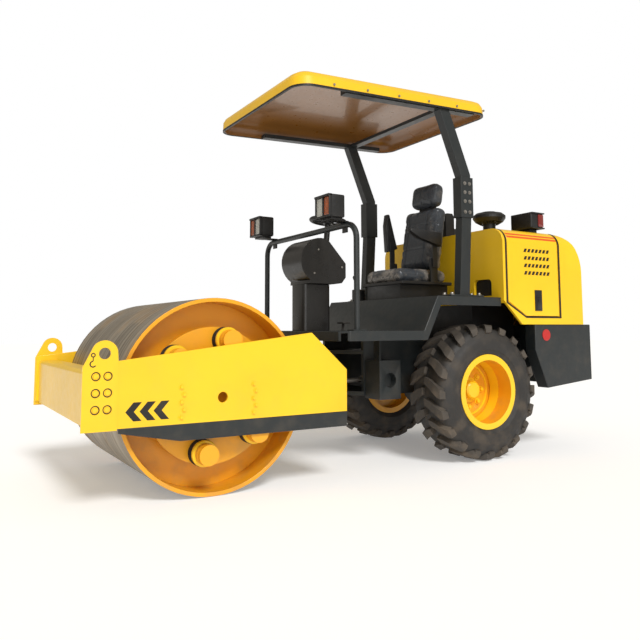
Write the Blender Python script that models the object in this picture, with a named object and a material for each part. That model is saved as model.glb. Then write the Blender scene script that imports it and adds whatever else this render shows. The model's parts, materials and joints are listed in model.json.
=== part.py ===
"""Small articulated single-drum road roller, piece by piece, in metres.

+X points forward, +Y to the machine's left and +Z up. The origin is on the ground, midway along the machine.
An outline is a list of (x, z) points in side view; a turned profile is a list of (radius, along) points.
"""

from math import cos, pi, radians, sin, sqrt, tan

import bmesh
import bpy
from mathutils import Matrix, Vector

# Overall sizes
LENGTH = 3.44
WIDTH = 1.334
WHEELBASE = 1.78
DRUM_RADIUS = 0.485
TYRE_RADIUS = 0.42
TYRE_WIDTH = 0.31
HUB_Z = 0.49
FLOOR_Z = 0.80
HOOD_HEIGHT = 0.46
CANOPY_CLEARANCE = 1.19

# Gaps: pieces at rest on each other, a pin in its hole, and moving pieces past fixed ones
SEAT_GAP = 0.0003
PIN_GAP = 0.0005
RUN_GAP = 0.006
HINGE_GAP = 0.0005

# Plates and tubes
FRAME_PLATE = 0.016
LUG_PLATE = 0.0097
PANEL = 0.020
DECK_PLATE = 0.012
SKIRT_DROP = 0.056
GUARD_DROP = 0.078

# Places along the machine
FRONT_X = LENGTH / 2
REAR_X = -LENGTH / 2
DRUM_X = FRONT_X - DRUM_RADIUS - 0.175
REAR_AXLE_X = DRUM_X - WHEELBASE
HINGE_X = DRUM_X - DRUM_RADIUS - 0.495
PLATFORM_FRONT_X = HINGE_X + 0.26
RISER_X = REAR_AXLE_X + TYRE_RADIUS + 0.062
DECK_FRONT_X = RISER_X - 0.109
HOOD_FRONT_X = REAR_AXLE_X - 0.16
HOOD_REAR_X = REAR_X + 0.07
WEIGHT_FRONT_X = REAR_AXLE_X - TYRE_RADIUS - 0.02

# Heights
DECK_Z = 2 * TYRE_RADIUS + 0.172
HOOD_TOP_Z = DECK_Z + HOOD_HEIGHT
HOOD_BOTTOM_Z = DECK_Z - 0.174
HOOD_CORNER_Z = DECK_Z - 0.018
RAIL_BOTTOM_Z = TYRE_RADIUS + 0.07
RAIL_TOP_Z = RAIL_BOTTOM_Z + 0.25
FORK_TOP_Z = HUB_Z + 0.19
FORK_BOTTOM_Z = HUB_Z - 0.09
CANOPY_Z = DECK_Z + CANOPY_CLEARANCE

# Half-widths
LUG_OUT_Y = WIDTH / 2
PLATE_OUT_Y = LUG_OUT_Y - LUG_PLATE - SEAT_GAP
PLATE_IN_Y = PLATE_OUT_Y - FRAME_PLATE
DRUM_END_Y = PLATE_IN_Y - 0.077
TYRE_OUT_Y = LUG_OUT_Y - 0.004
TYRE_MID_Y = TYRE_OUT_Y - TYRE_WIDTH / 2
HOOD_Y = LUG_OUT_Y - 0.027
PLATFORM_Y = LUG_OUT_Y - 0.053
CANOPY_Y = LUG_OUT_Y - 0.092
POST_Y = CANOPY_Y - 0.045
HANDRAIL_Y = PLATFORM_Y - 0.044
RAIL_OUT_Y = TYRE_OUT_Y - TYRE_WIDTH - 0.108
RAIL_IN_Y = RAIL_OUT_Y - 0.025

# Drum
SHELL_WALL = 0.020
HEAD_Y = DRUM_END_Y - 0.154
HEAD_WALL = 0.020
SPINDLE_RADIUS = 0.12
CARRIER_RADIUS = 0.34
CARRIER_Y = DRUM_END_Y - 0.064
CARRIER_WALL = 0.020
BUFFER_RADIUS = 0.05
BUFFER_CIRCLE = 0.28
BUFFER_COUNT = 6
BUFFER_START = 42

# Side plates of the drum frame
PLATE_BOTTOM_Z = HUB_Z - 0.117
PLATE_REAR_X = HINGE_X + 0.263
PLATE_REAR_TOP_Z = HUB_Z + 0.105
PLATE_PEAK = (PLATE_REAR_X + 0.218, HUB_Z + 0.303)
PLATE_FRONT_TOP_Z = HUB_Z + 0.167
LUG_REAR_X = FRONT_X - 0.154
LUG_TOP_Z = HUB_Z + 0.275
LUG_TOP_RADIUS = 0.058
LUG_EYE = (LUG_REAR_X + 0.060, LUG_TOP_Z - LUG_TOP_RADIUS)
LUG_EYE_RADIUS = 0.026
BEAM_DEPTH = 0.10
BEAM_INSET = 0.02
SCRAPER_GAP = 0.012
SCRAPER_Z = DRUM_RADIUS - 0.07

# Service box
SIDE_PORT_RADIUS = 0.045

# Joint between the two halves
PIN_RADIUS = 0.032
EAR_RADIUS = 0.075
EAR_WALL = 0.025
SHAFT_RADIUS = 0.05
HOUSING_RADIUS = 0.085
ARM_LENGTH = 0.15
NUT_REACH = 0.412
ARM_WALL = 0.024
CYLINDER_LENGTH = 0.47
BARREL_RADIUS = 0.028
ROD_RADIUS = 0.014
EYE_RADIUS = 0.026
EYE_PIN_RADIUS = 0.011

# Operator's place
SEAT_X = HOOD_FRONT_X + 0.52
SEAT_BASE_HEIGHT = 0.118
CUSHION_SIZE = (0.45, 0.44, 0.080)
BACKREST_SIZE = (0.16, 0.40, 0.47)
HEADREST_SIZE = (0.125, 0.28, 0.18)
SEAT_RECLINE = radians(9)
ARMREST_SIZE = (0.27, 0.05, 0.05)
PEDESTAL_X = PLATFORM_FRONT_X - 0.053
PEDESTAL_SIZE = (0.20, 0.166, 0.295)
HEAD_RADIUS = 0.145
HEAD_HALF_Y = 0.13
COLUMN_TILT = radians(-6)
COLUMN_LENGTH = 0.24
WHEEL_RING_RADIUS = 0.125
WHEEL_TUBE_RADIUS = 0.013
HANDRAIL_X = PLATFORM_FRONT_X - 0.125
HANDRAIL_HEIGHT = 0.62
HANDRAIL_BEND = 0.09
HANDRAIL_TUBE = 0.0175
LAMP_SIZE = (0.115, 0.16, 0.14)
POST_SIZE = (0.08, 0.06)
CANOPY_LENGTH = 1.47
CANOPY_FRONT_X = HOOD_FRONT_X + 1.483
CANOPY_CROWN = 0.13
CANOPY_WALL = 0.012
CANOPY_TILT = radians(2.2)

SMOOTH_LIMIT = radians(35)
ROUND = 32
MATERIALS = {
    # name: (red, green, blue, metallic, roughness)
    "yellow_paint": (0.90, 0.58, 0.03, 0.0, 0.35),
    "slate_paint": (0.06, 0.08, 0.09, 0.0, 0.45),
    "black_plastic": (0.03, 0.03, 0.03, 0.0, 0.55),
    "drum_steel": (0.38, 0.36, 0.33, 0.9, 0.5),
    "bare_steel": (0.55, 0.55, 0.55, 1.0, 0.3),
    "tyre_rubber": (0.05, 0.045, 0.04, 0.0, 0.85),
    "seat_fabric": (0.10, 0.14, 0.19, 0.0, 0.8),
    "engine_metal": (0.25, 0.25, 0.26, 0.7, 0.6),
}


def clear_scene():
    for obj in list(bpy.data.objects):
        bpy.data.objects.remove(obj)


def make_material(name):
    red, green, blue, metallic, roughness = MATERIALS[name]
    material = bpy.data.materials.new(name)
    material.use_nodes = True
    shader = material.node_tree.nodes["Principled BSDF"]
    shader.inputs["Base Color"].default_value = (red, green, blue, 1)
    shader.inputs["Metallic"].default_value = metallic
    shader.inputs["Roughness"].default_value = roughness
    material.diffuse_color = (red, green, blue, 1)
    return material


# Shapes: each returns a closed bmesh in the machine's frame


def box(low, high):
    bm = bmesh.new()
    middle = (Vector(low) + Vector(high)) / 2
    size = Vector(high) - Vector(low)
    place = Matrix.Translation(middle) @ Matrix.Diagonal((*size, 1))
    bmesh.ops.create_cube(bm, size=1, matrix=place)
    return bm


def prism(outline, low, high, across="Y"):
    """The outline pushed from low to high across its plane: (x, z) across Y, (x, y) across Z, (y, z) across X."""
    spread = {
        "Y": lambda a, b, c: (a, c, b),
        "Z": lambda a, b, c: (a, b, c),
        "X": lambda a, b, c: (c, a, b),
    }[across]
    bm = bmesh.new()
    corners = [bm.verts.new(spread(a, b, low)) for a, b in outline]
    face = bm.faces.new(corners)
    pushed = bmesh.ops.extrude_face_region(bm, geom=[face])
    moved = [v for v in pushed["geom"] if isinstance(v, bmesh.types.BMVert)]
    shift = Vector(spread(0, 0, high)) - Vector(spread(0, 0, low))
    bmesh.ops.translate(bm, verts=moved, vec=shift)
    bmesh.ops.recalc_face_normals(bm, faces=bm.faces)
    return bm


def turned(profile, centre, axis, steps=ROUND):
    """A closed (radius, along) profile turned once about an axis through centre."""
    bm = bmesh.new()
    verts = [bm.verts.new((radius, 0, along)) for radius, along in profile]
    edges = [bm.edges.new((verts[i - 1], verts[i])) for i in range(len(verts))]
    bmesh.ops.spin(
        bm,
        geom=verts + edges,
        cent=(0, 0, 0),
        axis=(0, 0, 1),
        angle=2 * pi,
        steps=steps,
        use_merge=True,
    )
    bmesh.ops.remove_doubles(bm, verts=bm.verts, dist=1e-6)
    bmesh.ops.dissolve_degenerate(bm, edges=bm.edges, dist=1e-6)
    bmesh.ops.recalc_face_normals(bm, faces=bm.faces)
    turn = Vector((0, 0, 1)).rotation_difference(Vector(axis))
    place = Matrix.Translation(centre) @ turn.to_matrix().to_4x4()
    bmesh.ops.transform(bm, matrix=place, verts=bm.verts)
    return bm


def rod(start, end, radius, steps=ROUND):
    start = Vector(start)
    along = Vector(end) - start
    return turned(
        [(0, 0), (radius, 0), (radius, along.length), (0, along.length)],
        start,
        along,
        steps,
    )


def arc(centre, radius, start, end, steps):
    """Points on an arc from start to end degrees."""
    angles = [radians(start + (end - start) * i / steps) for i in range(steps + 1)]
    return [(centre[0] + radius * cos(a), centre[1] + radius * sin(a)) for a in angles]


def tilted(bm, pivot, angle):
    """The shape turned about the Y axis through an (x, z) pivot; positive leans it back."""
    centre = Vector((pivot[0], 0, pivot[1]))
    turn = Matrix.Rotation(-angle, 3, "Y")
    bmesh.ops.rotate(bm, cent=centre, matrix=turn, verts=bm.verts)
    return bm


def rounded(bm, width, segments=2, only=None):
    """The shape with its edges rounded, or those that the test picks."""
    edges = [edge for edge in bm.edges if only is None or only(edge)]
    bmesh.ops.bevel(
        bm,
        geom=edges,
        offset=width,
        offset_type="OFFSET",
        segments=segments,
        profile=0.5,
        affect="EDGES",
        clamp_overlap=True,
        material=-1,
    )
    return bm


def mirrored(bm):
    bmesh.ops.scale(bm, vec=(1, -1, 1), verts=bm.verts)
    bmesh.ops.recalc_face_normals(bm, faces=bm.faces)
    return bm


# Objects


def make_joint(name, place, parent=None):
    """An empty on a joint's axis, which carries the pieces that move about it."""
    joint = bpy.data.objects.new(name, None)
    joint.empty_display_size = 0.1
    joint.parent = parent
    joint.location = Vector(place) - (place_of(parent) if parent else Vector())
    bpy.context.scene.collection.objects.link(joint)
    return joint


def place_of(obj):
    place = Vector(obj.location)
    while obj.parent:
        obj = obj.parent
        place += obj.location
    return place


def link(name, bm, joint):
    mesh = bpy.data.meshes.new(name)
    if joint:
        bmesh.ops.translate(bm, vec=-place_of(joint), verts=bm.verts)
    bm.to_mesh(mesh)
    bm.free()
    mesh.shade_smooth()
    mesh.set_sharp_from_angle(angle=SMOOTH_LIMIT)
    obj = bpy.data.objects.new(name, mesh)
    obj.parent = joint
    bpy.context.scene.collection.objects.link(obj)
    return obj


def piece(name, bm, material, joint=None, joins=(), cuts=()):
    """One sub-part: the first shape, joined with some more and cut by others."""
    obj = link(name, bm, joint)
    obj.data.materials.append(material)
    helpers = [("UNION", shape) for shape in joins]
    helpers += [("DIFFERENCE", shape) for shape in cuts]
    for number, (operation, shape) in enumerate(helpers):
        helper = link(f"{name}_{operation.lower()}_{number}", shape, joint)
        helper.hide_render = True
        helper.display_type = "WIRE"
        modifier = obj.modifiers.new(helper.name, "BOOLEAN")
        modifier.operation = operation
        modifier.solver = "EXACT"
        modifier.object = helper
    return obj


def sides():
    """(name, sign) of the machine's two sides."""
    return (("left", 1), ("right", -1))


def sided(bm, sign):
    return bm if sign > 0 else mirrored(bm)


# Rear half: chassis, axle and wheels


def chassis_outline():
    """One rail: low at the fork, stepped up over the axle, with a raised seat under the floor."""
    seat_z = FLOOR_Z - DECK_PLATE - SEAT_GAP
    front = HINGE_X - 0.13
    return [
        (REAR_X + 0.27 + SEAT_GAP, RAIL_BOTTOM_Z),
        (REAR_AXLE_X + 0.22, RAIL_BOTTOM_Z),
        (REAR_AXLE_X + 0.28, FORK_BOTTOM_Z),
        (front, FORK_BOTTOM_Z),
        (front, seat_z),
        (RISER_X - 0.03, seat_z),
        (RISER_X - 0.03, RAIL_TOP_Z),
        (REAR_X + 0.27 + SEAT_GAP, RAIL_TOP_Z),
    ]


def fork_outline():
    """A fork plate from above: as wide as the rails, narrowing to a round ear about the pin."""
    back = HINGE_X - 0.34
    half = RAIL_OUT_Y - 0.002
    ear = arc((HINGE_X, 0), EAR_RADIUS, -70, 70, 12)
    return [(back, -half), (HINGE_X - 0.13, -half), *ear, (HINGE_X - 0.13, half), (back, half)]


def build_chassis(paint):
    rails = [
        sided(prism(chassis_outline(), RAIL_IN_Y, RAIL_OUT_Y), sign) for _, sign in sides()
    ]
    forks = [
        prism(fork_outline(), low, low + EAR_WALL, "Z")
        for low in (FORK_BOTTOM_Z, FORK_TOP_Z - EAR_WALL)
    ]
    ties = [
        box((x, -RAIL_OUT_Y + 0.002, RAIL_TOP_Z - 0.16), (x + 0.03, RAIL_OUT_Y - 0.002, RAIL_TOP_Z - 0.02))
        for x in (REAR_X + 0.30, REAR_AXLE_X + 0.10)
    ]
    pin_hole = rod(
        (HINGE_X, 0, FORK_BOTTOM_Z - 0.05),
        (HINGE_X, 0, FORK_TOP_Z + 0.05),
        PIN_RADIUS + PIN_GAP,
    )
    ears = barrel_ears()
    piece("chassis_frame", rails[0], paint, joins=[rails[1], *forks, *ties, *ears], cuts=[pin_hole])


def cylinder_ends():
    """(x, y) of the steering cylinder's pins: on the chassis, and on the hub's arm."""
    arm = Vector((HINGE_X, ARM_LENGTH))
    return arm - Vector((CYLINDER_LENGTH, 0)), arm


def barrel_ears():
    """The lower ear and pin that hold the steering cylinder, on the left rail."""
    anchor, _ = cylinder_ends()
    wall = 0.014
    top = HUB_Z - BARREL_RADIUS - RUN_GAP - PIN_GAP
    ear = prism(
        [
            (anchor.x - 0.04, RAIL_IN_Y + 0.01),
            *arc(anchor, EYE_RADIUS, 180, 360, 10),
            (anchor.x + 0.04, RAIL_IN_Y + 0.01),
        ],
        top - wall,
        top,
        "Z",
    )
    pin = rod((*anchor, top - wall / 2), (*anchor, HUB_Z + BARREL_RADIUS + 0.015), EYE_PIN_RADIUS, 24)
    return [ear, pin]


def build_side_box(paint):
    """The service box on the chassis's left side, with a round port, hung from the platform by a bracket."""
    low_x, high_x = DECK_FRONT_X + 0.127, DECK_FRONT_X + 0.287
    low_y, high_y = RAIL_OUT_Y + SEAT_GAP, RAIL_OUT_Y + 0.155
    low_z, high_z = HUB_Z - 0.105, HUB_Z + 0.13
    port = rod(
        ((low_x + high_x) / 2, high_y - 0.05, HUB_Z + 0.01),
        ((low_x + high_x) / 2, high_y + 0.05, HUB_Z + 0.01),
        SIDE_PORT_RADIUS,
        32,
    )
    bracket = box(
        (high_x - 0.012, high_y - 0.06, high_z - 0.02),
        (high_x - 0.0005, high_y - 0.0005, FLOOR_Z - DECK_PLATE - SEAT_GAP),
    )
    piece("frame_side_box", box((low_x, low_y, low_z), (high_x, high_y, high_z)), paint, joins=[bracket], cuts=[port])


def build_axle(metal):
    tube = 0.058
    flange_y = TYRE_MID_Y - 0.07 - SEAT_GAP
    housing = turned(
        [
            (0, -flange_y),
            (0.10, -flange_y),
            (0.10, -flange_y + 0.025),
            (tube, -flange_y + 0.03),
            (tube, -0.14),
            (0.13, -0.06),
            (0.13, 0.06),
            (tube, 0.14),
            (tube, flange_y - 0.03),
            (0.10, flange_y - 0.025),
            (0.10, flange_y),
            (0, flange_y),
        ],
        (REAR_AXLE_X, 0, TYRE_RADIUS),
        (0, 1, 0),
    )
    pads = [
        sided(
            box(
                (REAR_AXLE_X - 0.07, RAIL_IN_Y - 0.01, TYRE_RADIUS),
                (REAR_AXLE_X + 0.07, RAIL_OUT_Y + 0.01, RAIL_BOTTOM_Z - SEAT_GAP),
            ),
            sign,
        )
        for _, sign in sides()
    ]
    piece("rear_axle", housing, metal, joins=pads)


def build_wheels(rubber, paint):
    half = TYRE_WIDTH / 2
    bore = TYRE_RADIUS * 0.488
    flange = bore + 0.0265
    tyre_profile = [
        (bore, half - 0.026),
        (flange + 0.004, half - 0.026),
        (flange + 0.03, half - 0.008),
        (TYRE_RADIUS - 0.10, half),
        (TYRE_RADIUS - 0.035, half - 0.006),
        (TYRE_RADIUS - 0.008, half - 0.022),
        (TYRE_RADIUS, half - 0.045),
    ]
    tyre_profile += [(radius, -along) for radius, along in reversed(tyre_profile)]
    barrel = bore - SEAT_GAP
    rim_profile = [
        (0, -0.07),
        (barrel - 0.01, -0.07),
        (barrel - 0.01, -half + 0.018),
        (flange, -half + 0.018),
        (flange, -half + 0.0255),
        (barrel, -half + 0.0255),
        (barrel, half - 0.0255),
        (flange, half - 0.0255),
        (flange, half - 0.018),
        (barrel - 0.01, half - 0.018),
        (barrel - 0.01, -0.052),
        (0, -0.052),
    ]
    for side, sign in sides():
        centre = (REAR_AXLE_X, sign * TYRE_MID_Y, TYRE_RADIUS)
        joint = make_joint(f"wheel_{side}_axis", centre)
        outward = (0, sign, 0)
        piece(f"tyre_{side}", turned(tyre_profile, centre, outward, 48), rubber, joint)
        piece(f"rim_{side}", turned(rim_profile, centre, outward, 48), paint, joint)


# Rear half: body


def platform_top(lower):
    """The platform's step from the hood to its front edge, lowered by this much."""
    slope = lower * 0.45
    return [
        (HOOD_FRONT_X + SEAT_GAP, DECK_Z - lower),
        (DECK_FRONT_X - slope, DECK_Z - lower),
        (RISER_X - slope, FLOOR_Z - lower),
        (PLATFORM_FRONT_X, FLOOR_Z - lower),
    ]


def build_platform(paint):
    """Floor, slanted riser and deck in one folded plate, with a skirt along its sides and front."""
    tray = prism(platform_top(0) + platform_top(SKIRT_DROP)[::-1], -PLATFORM_Y, PLATFORM_Y)
    (_, z), deck, floor, _ = platform_top(DECK_PLATE)
    inner_x = PLATFORM_FRONT_X - DECK_PLATE
    hollow = prism(
        [(HOOD_FRONT_X - 0.1, z), deck, floor, (inner_x, floor[1]), (inner_x, 0.3), (HOOD_FRONT_X - 0.1, 0.3)],
        DECK_PLATE - PLATFORM_Y,
        PLATFORM_Y - DECK_PLATE,
    )
    corner = 0.05
    corners = [
        sided(
            prism(
                [
                    (PLATFORM_FRONT_X - corner, PLATFORM_Y + 0.001),
                    (PLATFORM_FRONT_X + 0.001, PLATFORM_Y + 0.001),
                    (PLATFORM_FRONT_X + 0.001, PLATFORM_Y - corner),
                ],
                FLOOR_Z - 0.1,
                FLOOR_Z + 0.1,
                "Z",
            ),
            sign,
        )
        for _, sign in sides()
    ]
    piece("operator_platform", tray, paint, cuts=[hollow, *corners])


def build_counterweight(paint):
    top = HOOD_BOTTOM_Z - SEAT_GAP
    outline = [
        (WEIGHT_FRONT_X, top),
        (WEIGHT_FRONT_X, TYRE_RADIUS + 0.25),
        (WEIGHT_FRONT_X - 0.108, TYRE_RADIUS - 0.003),
        (REAR_X, TYRE_RADIUS + 0.037),
        (REAR_X, top),
    ]
    inner = HOOD_Y - 0.09
    bay = box((REAR_X + 0.27, -inner, 0), (WEIGHT_FRONT_X + 0.05, inner, top + 0.1))
    piece("rear_counterweight", prism(outline, -HOOD_Y, HOOD_Y), paint, cuts=[bay])


def hood_side(inset):
    """The hood in side view, drawn in by inset from the front, top and rear, and run past its open bottom."""
    bend = 0.27
    below = HOOD_BOTTOM_Z - (0.05 if inset else 0)
    front, rear, top = HOOD_FRONT_X - inset, HOOD_REAR_X + inset, HOOD_TOP_Z - inset
    centre = (rear + bend - inset, top - bend + inset)
    back = [(rear, below), *arc(centre, bend - inset, 180, 90, 10)]
    if inset:
        return [(front, below), *back, (front, top)]
    return [(front - 0.166, below), *back, (front, top), (front, HOOD_CORNER_Z)]


def hood_end(inset):
    """The hood from the front, its top edges rounded."""
    shoulder = 0.10
    half, top = HOOD_Y - inset, HOOD_TOP_Z - inset
    low = HOOD_BOTTOM_Z - 0.1
    right = arc((half - shoulder + inset, top - shoulder + inset), shoulder - inset, 0, 90, 8)
    left = [(-y, z) for y, z in reversed(right)]
    return [(half, low), *right, *left, (-half, low)]


def hood_solid(inset):
    """One crossing of the two outlines, made by cutting the long shape with what lies outside the end view."""
    name = f"hood_mould_{inset}"
    long_shape = link(name, prism(hood_side(inset), -HOOD_Y - 0.1, HOOD_Y + 0.1), None)
    across = link(
        f"{name}_end",
        prism(hood_end(inset), HOOD_REAR_X - 0.1, HOOD_FRONT_X + 0.1, "X"),
        None,
    )
    for helper in (long_shape, across):
        helper.hide_render = True
        helper.display_type = "WIRE"
    modifier = long_shape.modifiers.new("crossing", "BOOLEAN")
    modifier.operation = "INTERSECT"
    modifier.solver = "EXACT"
    modifier.object = across
    graph = bpy.context.evaluated_depsgraph_get()
    bm = bmesh.new()
    bm.from_object(long_shape, graph)
    return bm


DOOR_FRONT_X = HOOD_FRONT_X - 0.035
DOOR_REAR_X = HOOD_REAR_X + 0.24
DOOR_BOTTOM_Z = HOOD_BOTTOM_Z + 0.05
DOOR_TOP_Y = HOOD_Y - 0.095


def door_outline(gap):
    """The engine door in side view, drawn in by gap, with its lower front corner cut off."""
    front, rear, low = DOOR_FRONT_X - gap, DOOR_REAR_X + gap, DOOR_BOTTOM_Z + gap
    return [
        (front, HOOD_TOP_Z + 0.05),
        (front, HOOD_CORNER_Z - 0.006 + gap * 0.4),
        (front - 0.165 + gap * 0.4, low),
        (rear, low),
        (rear, HOOD_TOP_Z + 0.05),
    ]


def build_hood(paint, metal):
    openings = [
        sided(prism(door_outline(0), DOOR_TOP_Y, HOOD_Y + 0.05), sign) for _, sign in sides()
    ]
    port_y = HOOD_Y - 0.188
    port = prism(
        [
            (port_y - 0.08, DECK_Z + 0.015),
            (port_y + 0.08, DECK_Z + 0.015),
            *arc((port_y + 0.05, DECK_Z + 0.095), 0.03, 0, 90, 4),
            *arc((port_y - 0.05, DECK_Z + 0.095), 0.03, 90, 180, 4),
        ],
        HOOD_FRONT_X - 0.1,
        HOOD_FRONT_X + 0.1,
        "X",
    )
    piece("hood_shell", hood_solid(0), paint, cuts=[hood_solid(PANEL), *openings, port])
    for side, sign in sides():
        hinge = (
            (DOOR_FRONT_X + DOOR_REAR_X) / 2,
            sign * (DOOR_TOP_Y + HINGE_GAP),
            HOOD_TOP_Z,
        )
        joint = make_joint(f"engine_door_{side}_axis", hinge)
        outside = hood_solid(0)
        keep = sided(prism(door_outline(RUN_GAP), DOOR_TOP_Y + HINGE_GAP, HOOD_Y + 0.05), sign)
        door = link(f"engine_door_{side}", outside, joint)
        door.data.materials.append(paint)
        for operation, shape in (("INTERSECT", keep), ("DIFFERENCE", hood_solid(PANEL))):
            helper = link(f"engine_door_{side}_{operation.lower()}", shape, joint)
            helper.hide_render = True
            helper.display_type = "WIRE"
            modifier = door.modifiers.new(helper.name, "BOOLEAN")
            modifier.operation = operation
            modifier.solver = "EXACT"
            modifier.object = helper
    engine = box(
        (HOOD_REAR_X + 0.26, 0.005 - RAIL_OUT_Y, RAIL_TOP_Z + SEAT_GAP),
        (HOOD_FRONT_X - 0.10, RAIL_OUT_Y - 0.005, HOOD_TOP_Z - 0.17),
    )
    piece("engine_block", engine, metal)


def build_hood_top(plastic):
    """What stands on the hood: air pre-cleaner, exhaust outlet and tail lamps."""
    top = HOOD_TOP_Z + SEAT_GAP
    cleaner = turned(
        [
            (0, 0),
            (0.055, 0),
            (0.045, 0.012),
            (0.045, 0.105),
            (0.100, 0.115),
            (0.1175, 0.140),
            (0.1175, 0.160),
            (0.095, 0.178),
            (0, 0.188),
        ],
        (HOOD_FRONT_X - 0.33, 0.20, top),
        (0, 0, 1),
        40,
    )
    piece("air_precleaner", cleaner, plastic)
    outlet = [
        (HOOD_FRONT_X - 0.125, top),
        (HOOD_FRONT_X - 0.125, top + 0.160),
        (HOOD_FRONT_X - 0.108, top + 0.182),
        (HOOD_FRONT_X - 0.060, top + 0.182),
        (HOOD_FRONT_X - 0.045, top + 0.165),
        (HOOD_FRONT_X - 0.045, top),
    ]
    piece("exhaust_stack", prism(outlet, -0.05, 0.05), plastic)
    for side, sign in sides():
        low = Vector((HOOD_REAR_X + 0.24, HOOD_Y - 0.30, top + 0.035))
        lamp = rounded(box(low, low + Vector((0.13, 0.20, 0.115))), 0.012)
        foot = box(
            (low.x + 0.03, low.y + 0.05, top),
            (low.x + 0.10, low.y + 0.15, top + 0.045),
        )
        piece(f"rear_lamp_{side}", sided(lamp, sign), plastic, joins=[sided(foot, sign)])


# Roll bar and canopy


CANOPY_MIDDLE_X = CANOPY_FRONT_X - CANOPY_LENGTH / 2
RAIL_DROP = 0.008


def canopy_tilted(bm):
    """The shape turned with the roof, which is lower at its front."""
    return tilted(bm, (CANOPY_MIDDLE_X, CANOPY_Z), -CANOPY_TILT)


def under_rail(x):
    """Height at x of the roof rails' tilted underside."""
    return CANOPY_Z + (CANOPY_MIDDLE_X - x) * tan(CANOPY_TILT) - RAIL_DROP / cos(CANOPY_TILT)


def post_outline():
    """One roll-bar post in side view: a leaning leg, an upright splice and an arm that leans forward to the roof."""
    foot_z = DECK_Z + SEAT_GAP + DECK_PLATE - 0.002
    rise = CANOPY_Z - DECK_Z
    line = [
        (HOOD_FRONT_X + 0.26, foot_z),
        (HOOD_FRONT_X + 0.23, DECK_Z + 0.435 * rise),
        (HOOD_FRONT_X + 0.23, DECK_Z + 0.66 * rise),
        (HOOD_FRONT_X + 0.40, CANOPY_Z - RAIL_DROP),
    ]
    half = POST_SIZE[0] / 2
    front, back = [], []
    for i, (x, z) in enumerate(line):
        before = line[max(i - 1, 0)]
        after = line[min(i + 1, len(line) - 1)]
        way = Vector((after[0] - before[0], after[1] - before[1])).normalized()
        if i == 0:
            way = Vector((0, 1))
        if i == len(line) - 1:
            front.append((x + half, under_rail(x + half) - SEAT_GAP))
            back.append((x - half, under_rail(x - half) - SEAT_GAP))
            break
        front.append((x + half * way.y, z - half * way.x))
        back.append((x - half * way.y, z + half * way.x))
    return front + back[::-1]


def build_roll_bar(paint):
    half = POST_SIZE[1] / 2
    foot_x = HOOD_FRONT_X + 0.26
    foot_z = DECK_Z + SEAT_GAP
    rise = CANOPY_Z - DECK_Z
    splice_x = HOOD_FRONT_X + 0.23
    for side, sign in sides():
        post = prism(post_outline(), POST_Y - half, POST_Y + half)
        foot = box(
            (foot_x - 0.14, POST_Y - 0.055, foot_z),
            (foot_x + 0.14, POST_Y + 0.055, foot_z + DECK_PLATE),
        )
        splice = box(
            (splice_x - 0.052, POST_Y - half - 0.008, DECK_Z + 0.43 * rise),
            (splice_x + 0.052, POST_Y + half + 0.008, DECK_Z + 0.65 * rise),
        )
        piece(
            f"rops_post_{side}",
            sided(post, sign),
            paint,
            joins=[sided(foot, sign), sided(splice, sign)],
        )
    front, rear = CANOPY_FRONT_X - 0.33, CANOPY_FRONT_X - CANOPY_LENGTH + 0.13
    low, high = CANOPY_Z - RAIL_DROP, CANOPY_Z + 0.020
    outer = CANOPY_Y - CANOPY_WALL - 0.0036
    rails = [
        sided(box((rear, POST_Y - half, low), (front, outer, high)), sign)
        for _, sign in sides()
    ]
    beam = box((HOOD_FRONT_X + 0.36, -POST_Y, low + 0.004), (HOOD_FRONT_X + 0.42, POST_Y, high - 0.002))
    shapes = [canopy_tilted(shape) for shape in [*rails, beam]]
    piece("rops_top_frame", shapes[0], paint, joins=shapes[1:])


def canopy_layer(inset, low):
    """The roof from its open edge up: rounded corners in plan, a short wall, then the crown drawn in ring by ring."""
    corner = 0.11
    rings = (
        # rise as a share of the crown, distance drawn in
        (0.00, 0.000),
        (0.42, 0.004),
        (0.62, 0.020),
        (0.76, 0.055),
        (0.88, 0.130),
        (0.96, 0.250),
        (1.00, 0.400),
    )
    rear = CANOPY_FRONT_X - CANOPY_LENGTH
    bm = bmesh.new()
    loops = []
    for rise, drawn in rings:
        reach = drawn + inset
        front_x, rear_x, half = CANOPY_FRONT_X - reach, rear + reach, CANOPY_Y - reach
        radius = max(corner - reach, 0.03)
        outline = []
        for cx, cy, start in (
            (front_x - radius, half - radius, 0),
            (rear_x + radius, half - radius, 90),
            (rear_x + radius, -half + radius, 180),
            (front_x - radius, -half + radius, 270),
        ):
            outline += arc((cx, cy), radius, start, start + 90, 6)
        z = CANOPY_Z + (rise * CANOPY_CROWN if rise else low) - (inset if rise else 0)
        loops.append([bm.verts.new((x, y, z)) for x, y in outline])
    for lower, upper in zip(loops, loops[1:]):
        for i in range(len(lower)):
            j = (i + 1) % len(lower)
            bm.faces.new((lower[i], lower[j], upper[j], upper[i]))
    bm.faces.new(loops[-1])
    bm.faces.new(loops[0][::-1])
    bmesh.ops.recalc_face_normals(bm, faces=bm.faces)
    return bm


def build_canopy(paint):
    outer = canopy_tilted(canopy_layer(0, 0.0))
    inner = canopy_tilted(canopy_layer(CANOPY_WALL, -0.05))
    piece("canopy_roof", outer, paint, cuts=[inner])


# Operator's place


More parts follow.
